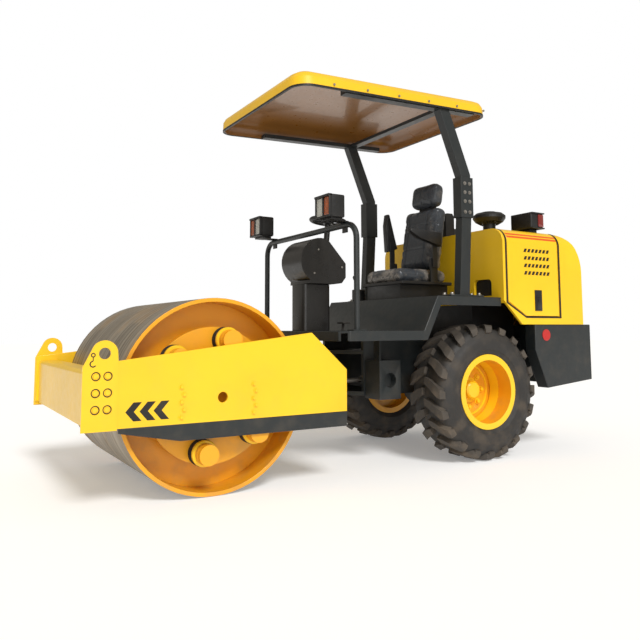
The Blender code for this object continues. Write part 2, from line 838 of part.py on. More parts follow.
def build_seat(fabric, plastic):
    length, width, thick = CUSHION_SIZE
    front = SEAT_X
    base_top = DECK_Z + SEAT_BASE_HEIGHT
    base = box(
        (front - length + 0.01, -width / 2 + 0.03, DECK_Z + SEAT_GAP),
        (front - 0.03, width / 2 - 0.03, base_top),
    )
    ledge = rounded(box((front - length + 0.005, -width / 2 - 0.015, base_top - 0.022), (front - 0.015, width / 2 + 0.015, base_top - 1e-4)), 0.004, 1)
    ears = [
        sided(
            box(
                (front - length + 0.13, width / 2 - 0.002, base_top - 0.015),
                (front - length + 0.19, width / 2 + 0.012, base_top + 0.16),
            ),
            sign,
        )
        for _, sign in sides()
    ]
    piece("seat_base", base, plastic, joins=[ledge, *ears])
    cushion = box(
        (front - length, -width / 2 + 0.004, base_top + SEAT_GAP),
        (front, width / 2 - 0.004, base_top + SEAT_GAP + thick),
    )
    piece("seat_cushion", rounded(cushion, 0.022, 3), fabric)
    deep, wide, tall = BACKREST_SIZE
    seat_top = base_top + SEAT_GAP + thick
    rounding = 0.045
    foot = (front - length + 0.18, seat_top + SEAT_GAP + (deep / 2 - rounding) * sin(SEAT_RECLINE))
    back = box((foot[0] - deep / 2, -wide / 2, foot[1]), (foot[0] + deep / 2, wide / 2, foot[1] + tall))
    back = rounded(back, rounding, 3)
    piece("seat_backrest", tilted(back, foot, SEAT_RECLINE), fabric)
    deep_head, wide_head, tall_head = HEADREST_SIZE
    head_low = foot[1] + tall + SEAT_GAP
    head = box(
        (foot[0] - deep / 2, -wide_head / 2, head_low),
        (foot[0] - deep / 2 + deep_head, wide_head / 2, head_low + tall_head),
    )
    piece("seat_headrest", tilted(rounded(head, 0.03, 3), foot, SEAT_RECLINE), fabric)
    spine_front = foot[0] - deep / 2 - SEAT_GAP
    spine = box(
        (spine_front - 0.028, -0.085, foot[1] + 0.02),
        (spine_front, 0.085, head_low + tall_head + 0.012),
    )
    spine = rounded(spine, 0.008, 2)
    piece("seat_back_frame", tilted(spine, foot, SEAT_RECLINE), plastic)
    build_armrests(plastic, front - length + 0.16, base_top)


def build_armrests(plastic, pivot_x, base_top):
    """The left arm lies down in use; the right one is folded up beside the backrest."""
    long_way, thick, tall = ARMREST_SIZE
    inner = CUSHION_SIZE[1] / 2 + 0.012 + SEAT_GAP
    for side, sign in sides():
        pivot = (pivot_x, base_top + 0.13)
        bracket = box((pivot_x - 0.02, inner, base_top + 0.10), (pivot_x + 0.02, inner + 0.012, base_top + 0.32))
        rest = prism(
            [
                (pivot_x - 0.03, base_top + 0.235),
                (pivot_x + long_way * 0.6, base_top + 0.285),
                (pivot_x + long_way - 0.03, base_top + 0.325),
                (pivot_x + long_way - 0.035, base_top + 0.345),
                (pivot_x + 0.02, base_top + 0.235 + tall * 2),
                (pivot_x - 0.03, base_top + 0.235 + tall * 2),
            ],
            inner + 0.002,
            inner + thick,
        )
        rest = rounded(rest, 0.008, 2)
        if sign < 0:
            tilted(rest, (pivot_x, base_top + 0.29), radians(72))
        piece(f"armrest_{side}", sided(bracket, sign), plastic, joins=[sided(rest, sign)])


def build_console(plastic, metal):
    long_way, wide, tall = PEDESTAL_SIZE
    low_x = PEDESTAL_X - long_way
    pedestal = box(
        (low_x, -wide / 2, FLOOR_Z + SEAT_GAP),
        (PEDESTAL_X, wide / 2, FLOOR_Z + SEAT_GAP + tall),
    )
    upright = rounded(pedestal, 0.025, 3, lambda edge: abs(edge.verts[0].co.z - edge.verts[1].co.z) > 0.1)
    piece("console_pedestal", upright, plastic)
    centre = (PEDESTAL_X - 0.10, FLOOR_Z + tall + SEAT_GAP * 2 + HEAD_RADIUS)
    rear = PEDESTAL_X - long_way - 0.085
    flat = centre[1] - HEAD_RADIUS
    head_outline = [
        (low_x, flat),
        (PEDESTAL_X - 0.02, flat),
        *arc(centre, HEAD_RADIUS, -58, 112, 16),
        (rear, centre[1] - 0.01),
        (rear, centre[1] - 0.10),
        (rear + 0.03, flat + 0.008),
    ]
    head = prism(head_outline, -HEAD_HALF_Y, HEAD_HALF_Y)
    column_foot = Vector((rear + 0.08, 0, centre[1] + 0.02))
    way = Vector((sin(COLUMN_TILT), 0, cos(COLUMN_TILT)))
    column_top = column_foot + way * COLUMN_LENGTH
    column = rod(column_foot, column_top, 0.019, 32)
    collar = rod(column_foot + way * 0.02, column_foot + way * 0.085, 0.032, 32)
    piece("console_head", head, plastic, joins=[collar, column])
    build_steering_wheel(plastic, column_top, way)


def build_steering_wheel(plastic, column_top, way):
    joint = make_joint("steering_wheel_axis", column_top)
    boss = turned(
        [(0, SEAT_GAP), (0.032, SEAT_GAP), (0.036, 0.02), (0.030, 0.034), (0, 0.036)],
        column_top,
        way,
        32,
    )
    ring_profile = [
        (WHEEL_RING_RADIUS - WHEEL_TUBE_RADIUS + dx, dz)
        for dx, dz in arc((0, 0.022), WHEEL_TUBE_RADIUS, 0, 330, 11)
    ]
    ring = turned(ring_profile, column_top, way, 40)
    across = way.cross(Vector((0, 1, 0))).normalized()
    spokes = []
    for angle in (90, 210, 330):
        turn = radians(angle)
        out = across * cos(turn) + Vector((0, 1, 0)) * sin(turn)
        start = column_top + way * 0.020
        spokes.append(rod(start, start + out * (WHEEL_RING_RADIUS - WHEEL_TUBE_RADIUS), 0.009, 16))
    piece("steering_wheel", boss, plastic, joint, joins=[*spokes, ring])


def tube_along(points, radius, steps=16):
    """A round bar through the points, closed at both ends."""
    bm = bmesh.new()
    rings = []
    for i, point in enumerate(points):
        before, after = points[max(i - 1, 0)], points[min(i + 1, len(points) - 1)]
        way = (Vector(after) - Vector(before)).normalized()
        side = Vector((1, 0, 0))
        up = way.cross(side).normalized()
        ring = []
        for k in range(steps):
            turn = 2 * pi * k / steps
            ring.append(bm.verts.new(Vector(point) + (side * cos(turn) + up * sin(turn)) * radius))
        rings.append(ring)
    for lower, upper in zip(rings, rings[1:]):
        for k in range(steps):
            n = (k + 1) % steps
            bm.faces.new((lower[k], lower[n], upper[n], upper[k]))
    bm.faces.new(rings[0][::-1])
    bm.faces.new(rings[-1])
    bmesh.ops.recalc_face_normals(bm, faces=bm.faces)
    return bm


def build_handrail(paint, plastic):
    foot, top = FLOOR_Z + SEAT_GAP, FLOOR_Z + HANDRAIL_HEIGHT
    bend = HANDRAIL_BEND
    inner = HANDRAIL_Y - bend
    left = arc((inner, top - bend), bend, 0, 90, 8)
    run = [(HANDRAIL_Y, foot), *left, *[(-y, z) for y, z in reversed(left)], (-HANDRAIL_Y, foot)]
    bar = tube_along([(HANDRAIL_X, y, z) for y, z in run], HANDRAIL_TUBE)
    feet = [
        sided(
            box(
                (HANDRAIL_X - 0.045, HANDRAIL_Y - 0.035, foot),
                (HANDRAIL_X + 0.045, HANDRAIL_Y + 0.035, foot + 0.008),
            ),
            sign,
        )
        for _, sign in sides()
    ]
    piece("handrail", bar, paint, joins=feet)
    deep, wide, tall = LAMP_SIZE
    rest = top + HANDRAIL_TUBE + SEAT_GAP
    rear = HANDRAIL_X + 0.05
    outer = HANDRAIL_Y - 0.04
    for side, sign in sides():
        low = Vector((rear, outer - wide, rest + 0.006))
        body = rounded(box(low, low + Vector((deep, wide, tall))), 0.010, 2)
        shelf = box((HANDRAIL_X - 0.03, outer - wide * 0.8, rest), (rear + deep * 0.7, outer - wide * 0.2, rest + 0.010))
        piece(f"headlamp_{side}", sided(body, sign), plastic, joins=[sided(shelf, sign)])


def build_levers(plastic):
    low = Vector((DECK_FRONT_X - 0.085, -0.345, DECK_Z + SEAT_GAP))
    body = rounded(box(low, low + Vector((0.075, 0.07, 0.085))), 0.006, 1)
    foot = low + Vector((0.035, 0.035, 0.07))
    stick = rod(foot, foot + Vector((0.03, 0, 0.09)), 0.006, 16)
    knob = turned(
        [(0, 0), (0.010, 0.001), (0.016, 0.010), (0.016, 0.024), (0.010, 0.034), (0, 0.036)],
        foot + Vector((0.0275, 0, 0.0825)),
        (0.3, 0, 0.9),
        20,
    )
    piece("lever_console", body, plastic, joins=[stick, knob])


# Joint between the halves, and the front frame


def build_articulation(paint, metal):
    steer = make_joint("steering_axis", (HINGE_X, 0, HUB_Z))
    gap = 0.004
    low, high = FORK_BOTTOM_Z + EAR_WALL + gap, FORK_TOP_Z - EAR_WALL - gap
    block = prism(
        [
            (HINGE_X + 0.10, -0.06),
            (HINGE_X + 0.10, 0.06),
            *arc((HINGE_X, 0), 0.07, 80, 280, 14),
        ],
        low,
        high,
        "Z",
    )
    pin = rod((HINGE_X, 0, FORK_BOTTOM_Z - 0.012), (HINGE_X, 0, FORK_TOP_Z + 0.012), PIN_RADIUS)
    shaft = rod((HINGE_X + 0.05, 0, HUB_Z), (HINGE_X + 0.40, 0, HUB_Z), SHAFT_RADIUS)
    nut = rod((HINGE_X + NUT_REACH - 0.02, 0, HUB_Z), (HINGE_X + NUT_REACH, 0, HUB_Z), SHAFT_RADIUS + 0.014)
    _, tip = cylinder_ends()
    ear_low = HUB_Z + EYE_RADIUS * 0.7 + RUN_GAP
    arms = [
        prism(
            [
                (HINGE_X - 0.035, 0.03),
                (HINGE_X + 0.035, 0.03),
                *arc(tip, 0.024, 0, 180, 10),
            ],
            z,
            z + ARM_WALL,
            "Z",
        )
        for z in (ear_low, HUB_Z * 2 - ear_low - ARM_WALL)
    ]
    piece("articulation_hub", block, metal, steer, joins=[pin, shaft, nut, *arms])
    build_cylinder(metal, paint)
    return steer


def build_cylinder(metal, paint):
    """The steering cylinder. Its rod's eye lies between the hub's two arms, with room all round."""
    anchor, tip = cylinder_ends()
    slide_end = make_joint("steering_cylinder_slide", (*tip, HUB_Z))
    barrel_end = anchor.x + CYLINDER_LENGTH * 0.62
    half = BARREL_RADIUS + RUN_GAP
    barrel = rod((anchor.x + 0.014, anchor.y, HUB_Z), (barrel_end, anchor.y, HUB_Z), BARREL_RADIUS, 32)
    eye = rod((*anchor, HUB_Z - half), (*anchor, HUB_Z + half), EYE_RADIUS, 28)
    eye_hole = rod((*anchor, HUB_Z - 0.1), (*anchor, HUB_Z + 0.1), EYE_PIN_RADIUS + PIN_GAP, 24)
    bore_start = anchor.x + 0.05
    bore = rod((bore_start, anchor.y, HUB_Z), (barrel_end + 0.05, anchor.y, HUB_Z), ROD_RADIUS + PIN_GAP, 32)
    piece("steering_cylinder_barrel", barrel, paint, joins=[eye], cuts=[bore, eye_hole])
    stroke_room = ARM_LENGTH * 0.62
    slide = rod((bore_start + stroke_room, anchor.y, HUB_Z), (tip.x - 0.012, tip.y, HUB_Z), ROD_RADIUS, 32)
    half = EYE_RADIUS * 0.7
    rod_eye = rod((*tip, HUB_Z - half), (*tip, HUB_Z + half), EYE_RADIUS * 0.85, 32)
    pin_hole = rod((*tip, HUB_Z - 0.1), (*tip, HUB_Z + 0.1), EYE_PIN_RADIUS + 0.002, 24)
    piece("steering_cylinder_rod", slide, metal, slide_end, joins=[rod_eye], cuts=[pin_hole])


def plate_outline():
    return [
        (PLATE_REAR_X, PLATE_BOTTOM_Z),
        (FRONT_X - 0.004, PLATE_BOTTOM_Z),
        (FRONT_X - 0.004, PLATE_FRONT_TOP_Z),
        (LUG_REAR_X, PLATE_FRONT_TOP_Z + 0.015),
        PLATE_PEAK,
        (PLATE_REAR_X, PLATE_REAR_TOP_Z),
    ]


def build_front_frame(yellow, dark, front):
    for side, sign in sides():
        plate = prism(plate_outline(), PLATE_IN_Y, PLATE_OUT_Y)
        hub_hole = rod((DRUM_X, PLATE_IN_Y - 0.05, DRUM_RADIUS), (DRUM_X, PLATE_OUT_Y + 0.05, DRUM_RADIUS), 0.0255, 24)
        piece(f"side_plate_{side}", sided(plate, sign), yellow, front, cuts=[sided(hub_hole, sign)])
        lug_low = PLATE_BOTTOM_Z - 0.006
        lug = [
            (LUG_REAR_X, lug_low),
            (FRONT_X, lug_low),
            (FRONT_X, PLATE_FRONT_TOP_Z - 0.01),
            *arc(LUG_EYE, LUG_TOP_RADIUS, 35, 180, 12),
            (LUG_REAR_X, PLATE_FRONT_TOP_Z + 0.014),
        ]
        eye = rod((LUG_EYE[0], PLATE_OUT_Y - 0.05, LUG_EYE[1]), (LUG_EYE[0], LUG_OUT_Y + 0.05, LUG_EYE[1]), LUG_EYE_RADIUS, 24)
        lug_plate = prism(lug, PLATE_OUT_Y + SEAT_GAP, LUG_OUT_Y)
        piece(f"lifting_lug_{side}", sided(lug_plate, sign), yellow, front, cuts=[sided(eye, sign)])
        guard_top = PLATE_BOTTOM_Z - SEAT_GAP
        guard = prism(
            [
                (PLATE_REAR_X, guard_top),
                (PLATE_REAR_X, guard_top - GUARD_DROP),
                (DRUM_X + 0.21, guard_top - GUARD_DROP),
                (LUG_REAR_X - 0.01, guard_top - 0.022),
                (LUG_REAR_X - 0.01, guard_top),
            ],
            PLATE_IN_Y,
            PLATE_OUT_Y,
        )
        piece(f"lower_guard_{side}", sided(guard, sign), dark, front)
    half = PLATE_IN_Y - SEAT_GAP
    beam_front = FRONT_X - BEAM_INSET
    beam = box(
        (beam_front - BEAM_DEPTH, -half, PLATE_BOTTOM_Z + 0.012),
        (beam_front, half, PLATE_FRONT_TOP_Z - 0.025),
    )
    piece("front_beam", rounded(beam, 0.018, 3, is_top_front(beam_front)), yellow, front)
    rear_low = HINGE_X + 0.28
    rear_beam = box((rear_low, -half, PLATE_BOTTOM_Z + 0.012), (rear_low + 0.08, half, PLATE_REAR_TOP_Z - 0.005))
    housing = rod((HINGE_X + 0.13, 0, HUB_Z), (HINGE_X + 0.385, 0, HUB_Z), HOUSING_RADIUS)
    bore = rod((HINGE_X + 0.05, 0, HUB_Z), (HINGE_X + 0.5, 0, HUB_Z), SHAFT_RADIUS + PIN_GAP)
    piece("rear_beam", rear_beam, yellow, front, joins=[housing], cuts=[bore])
    build_scrapers(dark, front, half, beam_front - BEAM_DEPTH, rear_low + 0.08)


def is_top_front(beam_front):
    """Picks the beam's long upper front edge."""

    def picked(edge):
        a, b = edge.verts[0].co, edge.verts[1].co
        middle = (a + b) / 2
        return abs(a.y - b.y) > 0.5 and middle.x > beam_front - 0.01 and middle.z > HUB_Z

    return picked


def build_scrapers(paint, front, half, front_beam_x, rear_beam_x):
    """A bar with a blade near the drum, carried by each cross beam."""
    reach = sqrt(DRUM_RADIUS**2 - (DRUM_RADIUS - SCRAPER_Z) ** 2) + SCRAPER_GAP
    spans = {
        # name: (low x, high x)
        "scraper_front": (DRUM_X + reach, front_beam_x - SEAT_GAP),
        "scraper_rear": (rear_beam_x + SEAT_GAP, DRUM_X - reach),
    }
    nut_room = HOUSING_RADIUS + 2 * RUN_GAP
    notch_x = HINGE_X + NUT_REACH + 2 * RUN_GAP
    for name, (low_x, high_x) in spans.items():
        bar = box((low_x, -DRUM_END_Y, SCRAPER_Z), (high_x, DRUM_END_Y, SCRAPER_Z + 0.02))
        cuts = []
        if name == "scraper_rear":
            cuts = [box((rear_beam_x - 0.05, -nut_room, SCRAPER_Z - 0.05), (notch_x, nut_room, SCRAPER_Z + 0.05))]
        piece(name, bar, paint, front, cuts=cuts)


def build_drum(yellow, steel, front):
    joint = make_joint("drum_axis", (DRUM_X, 0, DRUM_RADIUS), front)
    inside = DRUM_RADIUS - SHELL_WALL
    centre = (DRUM_X, 0, DRUM_RADIUS)
    tube = [
        (DRUM_RADIUS, DRUM_END_Y),
        (inside, DRUM_END_Y),
        (inside, -DRUM_END_Y),
        (DRUM_RADIUS, -DRUM_END_Y),
    ]
    piece("drum_shell", turned(tube, centre, (0, 1, 0), 64), steel, joint)
    head_edge, bore = inside - SEAT_GAP, SPINDLE_RADIUS + PIN_GAP
    for side, sign in sides():
        head = [
            (head_edge, HEAD_Y),
            (bore, HEAD_Y),
            (bore, HEAD_Y - HEAD_WALL),
            (head_edge, HEAD_Y - HEAD_WALL),
        ]
        piece(f"drum_head_{side}", turned(head, centre, (0, sign, 0), 64), yellow, joint)
        spindle_end = HEAD_Y - HEAD_WALL - 0.015
        disc = turned(
            [
                (0, spindle_end),
                (SPINDLE_RADIUS, spindle_end),
                (SPINDLE_RADIUS, CARRIER_Y),
                (CARRIER_RADIUS, CARRIER_Y),
                (CARRIER_RADIUS, CARRIER_Y + CARRIER_WALL),
                (0, CARRIER_Y + CARRIER_WALL),
            ],
            centre,
            (0, sign, 0),
            64,
        )
        buffers = []
        for number in range(BUFFER_COUNT):
            turn = radians(BUFFER_START + 360 / BUFFER_COUNT * number)
            x = DRUM_X + BUFFER_CIRCLE * cos(turn)
            z = DRUM_RADIUS + BUFFER_CIRCLE * sin(turn)
            buffers.append(
                rod(
                    (x, sign * (CARRIER_Y + CARRIER_WALL / 2), z),
                    (x, sign * (PLATE_IN_Y - SEAT_GAP), z),
                    BUFFER_RADIUS,
                    24,
                )
            )
        piece(f"drum_carrier_{side}", disc, yellow, front, joins=buffers)


def build():
    clear_scene()
    paint = {name: make_material(name) for name in MATERIALS}
    yellow, slate = paint["yellow_paint"], paint["slate_paint"]
    plastic, metal = paint["black_plastic"], paint["bare_steel"]
    build_chassis(slate)
    build_side_box(slate)
    build_axle(slate)
    build_wheels(paint["tyre_rubber"], yellow)
    build_platform(slate)
    build_counterweight(slate)
    build_hood(yellow, paint["engine_metal"])
    build_hood_top(plastic)
    build_roll_bar(slate)
    build_canopy(yellow)
    build_seat(paint["seat_fabric"], plastic)
    build_console(plastic, metal)
    build_handrail(slate, plastic)
    build_levers(plastic)
    steer = build_articulation(slate, metal)
    front = make_joint("oscillation_axis", (HINGE_X + 0.25, 0, HUB_Z), steer)
    build_front_frame(yellow, slate, front)
    build_drum(yellow, paint["drum_steel"], front)


build()
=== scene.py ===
"""The looks of a small single-drum road roller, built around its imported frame, in metres."""

import json
from math import cos, exp, pi, radians, sin

import bmesh
import bpy
from mathutils import Matrix, Vector


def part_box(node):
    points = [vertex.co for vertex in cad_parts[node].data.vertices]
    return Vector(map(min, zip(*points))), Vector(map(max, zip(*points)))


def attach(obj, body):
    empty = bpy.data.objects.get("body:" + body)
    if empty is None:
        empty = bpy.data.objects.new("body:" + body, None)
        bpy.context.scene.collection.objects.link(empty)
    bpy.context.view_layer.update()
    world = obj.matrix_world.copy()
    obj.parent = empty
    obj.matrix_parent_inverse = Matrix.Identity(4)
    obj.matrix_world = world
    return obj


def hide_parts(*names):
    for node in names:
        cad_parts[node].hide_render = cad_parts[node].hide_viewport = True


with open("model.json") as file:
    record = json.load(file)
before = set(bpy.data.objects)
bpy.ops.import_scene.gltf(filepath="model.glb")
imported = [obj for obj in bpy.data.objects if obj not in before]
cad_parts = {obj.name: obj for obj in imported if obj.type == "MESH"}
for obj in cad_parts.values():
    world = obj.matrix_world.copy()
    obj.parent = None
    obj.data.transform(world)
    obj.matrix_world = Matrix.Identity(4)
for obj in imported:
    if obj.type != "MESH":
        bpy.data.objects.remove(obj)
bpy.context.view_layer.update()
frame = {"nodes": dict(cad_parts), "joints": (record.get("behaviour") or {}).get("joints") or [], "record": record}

REAR, FRONT = "rear_chassis", "front_frame"
SIDES = (("left", 1), ("right", -1))

# Places, read from the frame
DRUM_LOW, DRUM_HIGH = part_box("drum_shell")
DRUM_X = (DRUM_LOW.x + DRUM_HIGH.x) / 2
DRUM_RADIUS = (DRUM_HIGH.x - DRUM_LOW.x) / 2
TYRE_LOW, TYRE_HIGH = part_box("tyre_left")
AXLE_X = (TYRE_LOW.x + TYRE_HIGH.x) / 2
TYRE_MID_Y = (TYRE_LOW.y + TYRE_HIGH.y) / 2
TYRE_HALF = (TYRE_HIGH.y - TYRE_LOW.y) / 2
TYRE_RADIUS = (TYRE_HIGH.x - TYRE_LOW.x) / 2
PLATE_LOW, PLATE_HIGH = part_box("side_plate_left")
LUG_LOW, LUG_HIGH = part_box("lifting_lug_left")
HOOD_LOW, HOOD_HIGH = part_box("hood_shell")
DOOR_LOW, DOOR_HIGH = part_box("engine_door_left")
CANOPY_LOW, CANOPY_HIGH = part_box("canopy_roof")
POST_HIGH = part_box("rops_post_left")[1]
DECK_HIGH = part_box("operator_platform")[1]
HEAD_LOW, HEAD_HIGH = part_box("console_head")
WHEEL_LOW, WHEEL_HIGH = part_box("steering_wheel")
WEIGHT_LOW, WEIGHT_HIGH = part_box("rear_counterweight")
CARRIER_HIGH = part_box("drum_carrier_left")[1]
CUSHION_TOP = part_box("seat_cushion")[1].z

# Tyre tread
LUG_COUNT = 20
CARCASS_RADIUS = TYRE_RADIUS - 0.026

# Drum buffers
BUFFER_COUNT = 6
BUFFER_START = 42
BUFFER_CIRCLE = 0.28
BUFFER_RADIUS = 0.05

# Lug bolts
LUG_POCKET_RADIUS = 0.0205
LUG_POCKET_DEPTH = 0.0075

# Roof
CANOPY_TILT = radians(-2.2)
CANOPY_CORNER = 0.11

# Seat
SEAT_RECLINE = radians(9)
VOXEL = 0.006
SWELL_CAP = 0.012

DUST = (0.24, 0.18, 0.12)
YELLOW = (0.95, 0.58, 0.010)
# A darker, more orange copy of the yellow: painted shade for the drum's heads and inner faces, its carriers, the rims'
# inner faces and the buffer sleeves.
SHADED_YELLOW_COLOUR = (0.86, 0.38, 0.008)
SLATE = (0.013, 0.017, 0.018)


# Shader groups


def make_group(name, inputs, outputs):
    tree = bpy.data.node_groups.new(name, "ShaderNodeTree")
    for label, kind, value in inputs:
        socket = tree.interface.new_socket(label, in_out="INPUT", socket_type=kind)
        socket.default_value = value
    for label, kind in outputs:
        tree.interface.new_socket(label, in_out="OUTPUT", socket_type=kind)
    return tree, tree.nodes.new("NodeGroupInput"), tree.nodes.new("NodeGroupOutput")


def add_node(tree, kind, settings=None, **values):
    """A shader node with its settings, and its inputs given by name; a socket as a value is linked."""
    node = tree.nodes.new("ShaderNode" + kind)
    for key, value in (settings or {}).items():
        setattr(node, key, value)
    for key, value in values.items():
        numbered = key[0] == "i" and key[1:].isdigit()
        socket = node.inputs[int(key[1:]) if numbered else key.replace("_", " ")]
        if isinstance(value, bpy.types.NodeSocket):
            tree.links.new(value, socket)
        else:
            socket.default_value = value
    return node


def object_place(tree, scale=(1, 1, 1)):
    coordinate = add_node(tree, "TexCoord")
    return add_node(tree, "Mapping", Vector=coordinate.outputs["Object"], Scale=scale).outputs[0]


def blotches(tree, scale, detail=4.0, stretch=(1, 1, 1)):
    place = object_place(tree, stretch)
    return add_node(tree, "TexNoise", Vector=place, Scale=scale, Detail=detail).outputs["Fac"]


def stepped(tree, value, low, high, to_low=0.0, to_high=1.0):
    smooth = {"interpolation_type": "SMOOTHSTEP"}
    node = add_node(tree, "MapRange", smooth, Value=value, From_Min=low, From_Max=high)
    node.inputs["To Min"].default_value, node.inputs["To Max"].default_value = to_low, to_high
    return node.outputs[0]


def multiplied(tree, a, b):
    return add_node(tree, "Math", {"operation": "MULTIPLY"}, i0=a, i1=b).outputs[0]


def added(tree, a, b):
    return add_node(tree, "Math", {"operation": "ADD"}, i0=a, i1=b).outputs[0]


def mixed(tree, factor, a, b):
    node = add_node(tree, "Mix", {"data_type": "RGBA"}, i0=factor)
    for socket, value in ((node.inputs[6], a), (node.inputs[7], b)):
        if isinstance(value, bpy.types.NodeSocket):
            tree.links.new(value, socket)
        else:
            socket.default_value = value
    return node.outputs[2]


def make_weathering():
    """Faded colour with grime that gathers low down, and a fine grain."""
    tree, given, out = make_group(
        "weathering",
        [
            ("Colour", "NodeSocketColor", (*YELLOW, 1)),
            ("Grime", "NodeSocketColor", (*DUST, 1)),
            ("Grime amount", "NodeSocketFloat", 0.2),
            ("Roughness", "NodeSocketFloat", 0.35),
            ("Grain scale", "NodeSocketFloat", 240.0),
        ],
        [("Colour", "NodeSocketColor"), ("Roughness", "NodeSocketFloat"), ("Height", "NodeSocketFloat")],
    )
    fade = stepped(tree, blotches(tree, 2.4), 0.3, 0.7)
    darker = add_node(tree, "HueSaturation", Value=0.90, Color=given.outputs["Colour"]).outputs[0]
    base = mixed(tree, fade, given.outputs["Colour"], darker)
    height = add_node(tree, "SeparateXYZ", Vector=object_place(tree)).outputs["Z"]
    low_down = stepped(tree, height, 1.1, 0.1, 0.25, 1.0)
    spots = stepped(tree, blotches(tree, 11, 9), 0.42, 0.75)
    grime = multiplied(tree, multiplied(tree, spots, low_down), given.outputs["Grime amount"])
    tree.links.new(mixed(tree, grime, base, given.outputs["Grime"]), out.inputs["Colour"])
    rougher = multiplied(tree, grime, 0.6)
    uneven = stepped(tree, blotches(tree, 34, 3), 0.3, 0.7, -0.03, 0.05)
    total = added(tree, added(tree, given.outputs["Roughness"], rougher), uneven)
    tree.links.new(total, out.inputs["Roughness"])
    fine = given.outputs["Grain scale"]
    grain = add_node(tree, "TexNoise", Vector=object_place(tree), Scale=fine, Detail=2.0)
    tree.links.new(grain.outputs["Fac"], out.inputs["Height"])
    return tree


def make_rolled_steel():
    """Steel worn by gravel: streaks round the drum, rust and caked soil in patches."""
    tree, _, out = make_group(
        "rolled_steel",
        [],
        [
            ("Colour", "NodeSocketColor"),
            ("Roughness", "NodeSocketFloat"),
            ("Metal", "NodeSocketFloat"),
            ("Height", "NodeSocketFloat"),
        ],
    )
    streaks = blotches(tree, 2.2, 7, (0.7, 16, 0.7))
    scratches = blotches(tree, 9, 4, (0.6, 30, 0.6))
    patches = stepped(tree, blotches(tree, 3.6, 8), 0.44, 0.66)
    steel = mixed(tree, stepped(tree, streaks, 0.32, 0.68), (0.15, 0.12, 0.085, 1), (0.42, 0.37, 0.29, 1))
    rust = mixed(tree, stepped(tree, scratches, 0.35, 0.65), (0.17, 0.095, 0.04, 1), (0.34, 0.24, 0.13, 1))
    cover = multiplied(tree, patches, 0.65)
    tree.links.new(mixed(tree, cover, steel, rust), out.inputs["Colour"])
    tree.links.new(stepped(tree, cover, 0, 0.7, 0.42, 0.75), out.inputs["Roughness"])
    tree.links.new(stepped(tree, cover, 0, 0.5, 0.65, 0.1), out.inputs["Metal"])
    pits = multiplied(tree, blotches(tree, 60, 6), 0.6)
    tree.links.new(added(tree, scratches, pits), out.inputs["Height"])
    return tree


def make_crumpled_film():
    """Creased clear film over cloth: masks for a milky haze with painted sheen where it bunches up, and for fine sharp
    folds that carry a painted highlight.
    """
    tree, _, out = make_group(
        "crumpled_film",
        [],
        [("Milky haze and sheen", "NodeSocketFloat"), ("Fold highlights", "NodeSocketFloat"), ("Height", "NodeSocketFloat")],
    )
    bent = add_node(tree, "TexNoise", Vector=object_place(tree), Scale=5.0, Detail=3.0)
    pull = add_node(
        tree,
        "VectorMath",
        {"operation": "MULTIPLY_ADD"},
        i0=bent.outputs["Color"],
        i1=(0.30, 0.30, 0.30),
        i2=object_place(tree, (1.0, 1.0, 0.55)),
    )
    wrinkles = add_node(tree, "TexNoise", Vector=pull.outputs[0], Scale=26.0, Detail=5.0, Roughness=0.6)
    creases = wrinkles.outputs["Fac"]
    away = add_node(tree, "Math", {"operation": "ABSOLUTE"}, i0=added(tree, creases, -0.5)).outputs[0]
    folds = stepped(tree, away, 0.0, 0.035, 1.0, 0.0)
    patches = stepped(tree, blotches(tree, 7.5, 4), 0.44, 0.60)
    place = add_node(tree, "SeparateXYZ", Vector=object_place(tree)).outputs
    side = add_node(tree, "Math", {"operation": "ABSOLUTE"}, i0=place["Y"]).outputs[0]
    bolster = stepped(tree, side, 0.11, 0.175)
    cushion = stepped(tree, place["Z"], CUSHION_TOP + 0.03, CUSHION_TOP - 0.01)
    loose = add_node(tree, "Math", {"operation": "MAXIMUM"}, i0=bolster, i1=cushion).outputs[0]
    seen = multiplied(tree, patches, loose)
    haze = stepped(tree, creases, 0.35, 0.65, 0.35, 1.0)
    tree.links.new(multiplied(tree, seen, haze), out.inputs["Milky haze and sheen"])
    tree.links.new(multiplied(tree, folds, stepped(tree, seen, 0, 1, 0.08, 1.0)), out.inputs["Fold highlights"])
    tree.links.new(added(tree, multiplied(tree, folds, 0.6), creases), out.inputs["Height"])
    return tree


WEATHERING = make_weathering()
ROLLED_STEEL = make_rolled_steel()
CRUMPLED_FILM = make_crumpled_film()


# Materials


def new_material(name, **values):
    material = bpy.data.materials.new(name)
    material.use_nodes = True
    tree = material.node_tree
    shader = tree.nodes["Principled BSDF"]
    for key, value in values.items():
        shader.inputs[key.replace("_", " ")].default_value = value
    return material, tree, shader


def place_group(tree, group, **values):
    node = tree.nodes.new("ShaderNodeGroup")
    node.node_tree = group
    for key, value in values.items():
        node.inputs[key.replace("_", " ")].default_value = value
    return node


def bumped(tree, shader, height, strength, distance):
    bump = add_node(tree, "Bump", Height=height, Strength=strength, Distance=distance)
    tree.links.new(bump.outputs[0], shader.inputs["Normal"])


def weathered(name, colour, roughness, grime=0.25, grain=240.0, bump=0.08, depth=0.0004, **values):
    """A painted, moulded or rubber finish."""
    material, tree, shader = new_material(name, **values)
    film = place_group(
        tree, WEATHERING, Colour=(*colour, 1), Grime_amount=grime, Roughness=roughness, Grain_scale=grain
    )
    tree.links.new(film.outputs["Colour"], shader.inputs["Base Color"])
    tree.links.new(film.outputs["Roughness"], shader.inputs["Roughness"])
    bumped(tree, shader, film.outputs["Height"], bump, depth)
    return material


def make_drum_steel():
    material, tree, shader = new_material("worn_drum_steel")
    worn = place_group(tree, ROLLED_STEEL)
    for label, socket in (("Colour", "Base Color"), ("Roughness", "Roughness"), ("Metal", "Metallic")):
        tree.links.new(worn.outputs[label], shader.inputs[socket])
    bumped(tree, shader, worn.outputs["Height"], 0.35, 0.001)
    return material


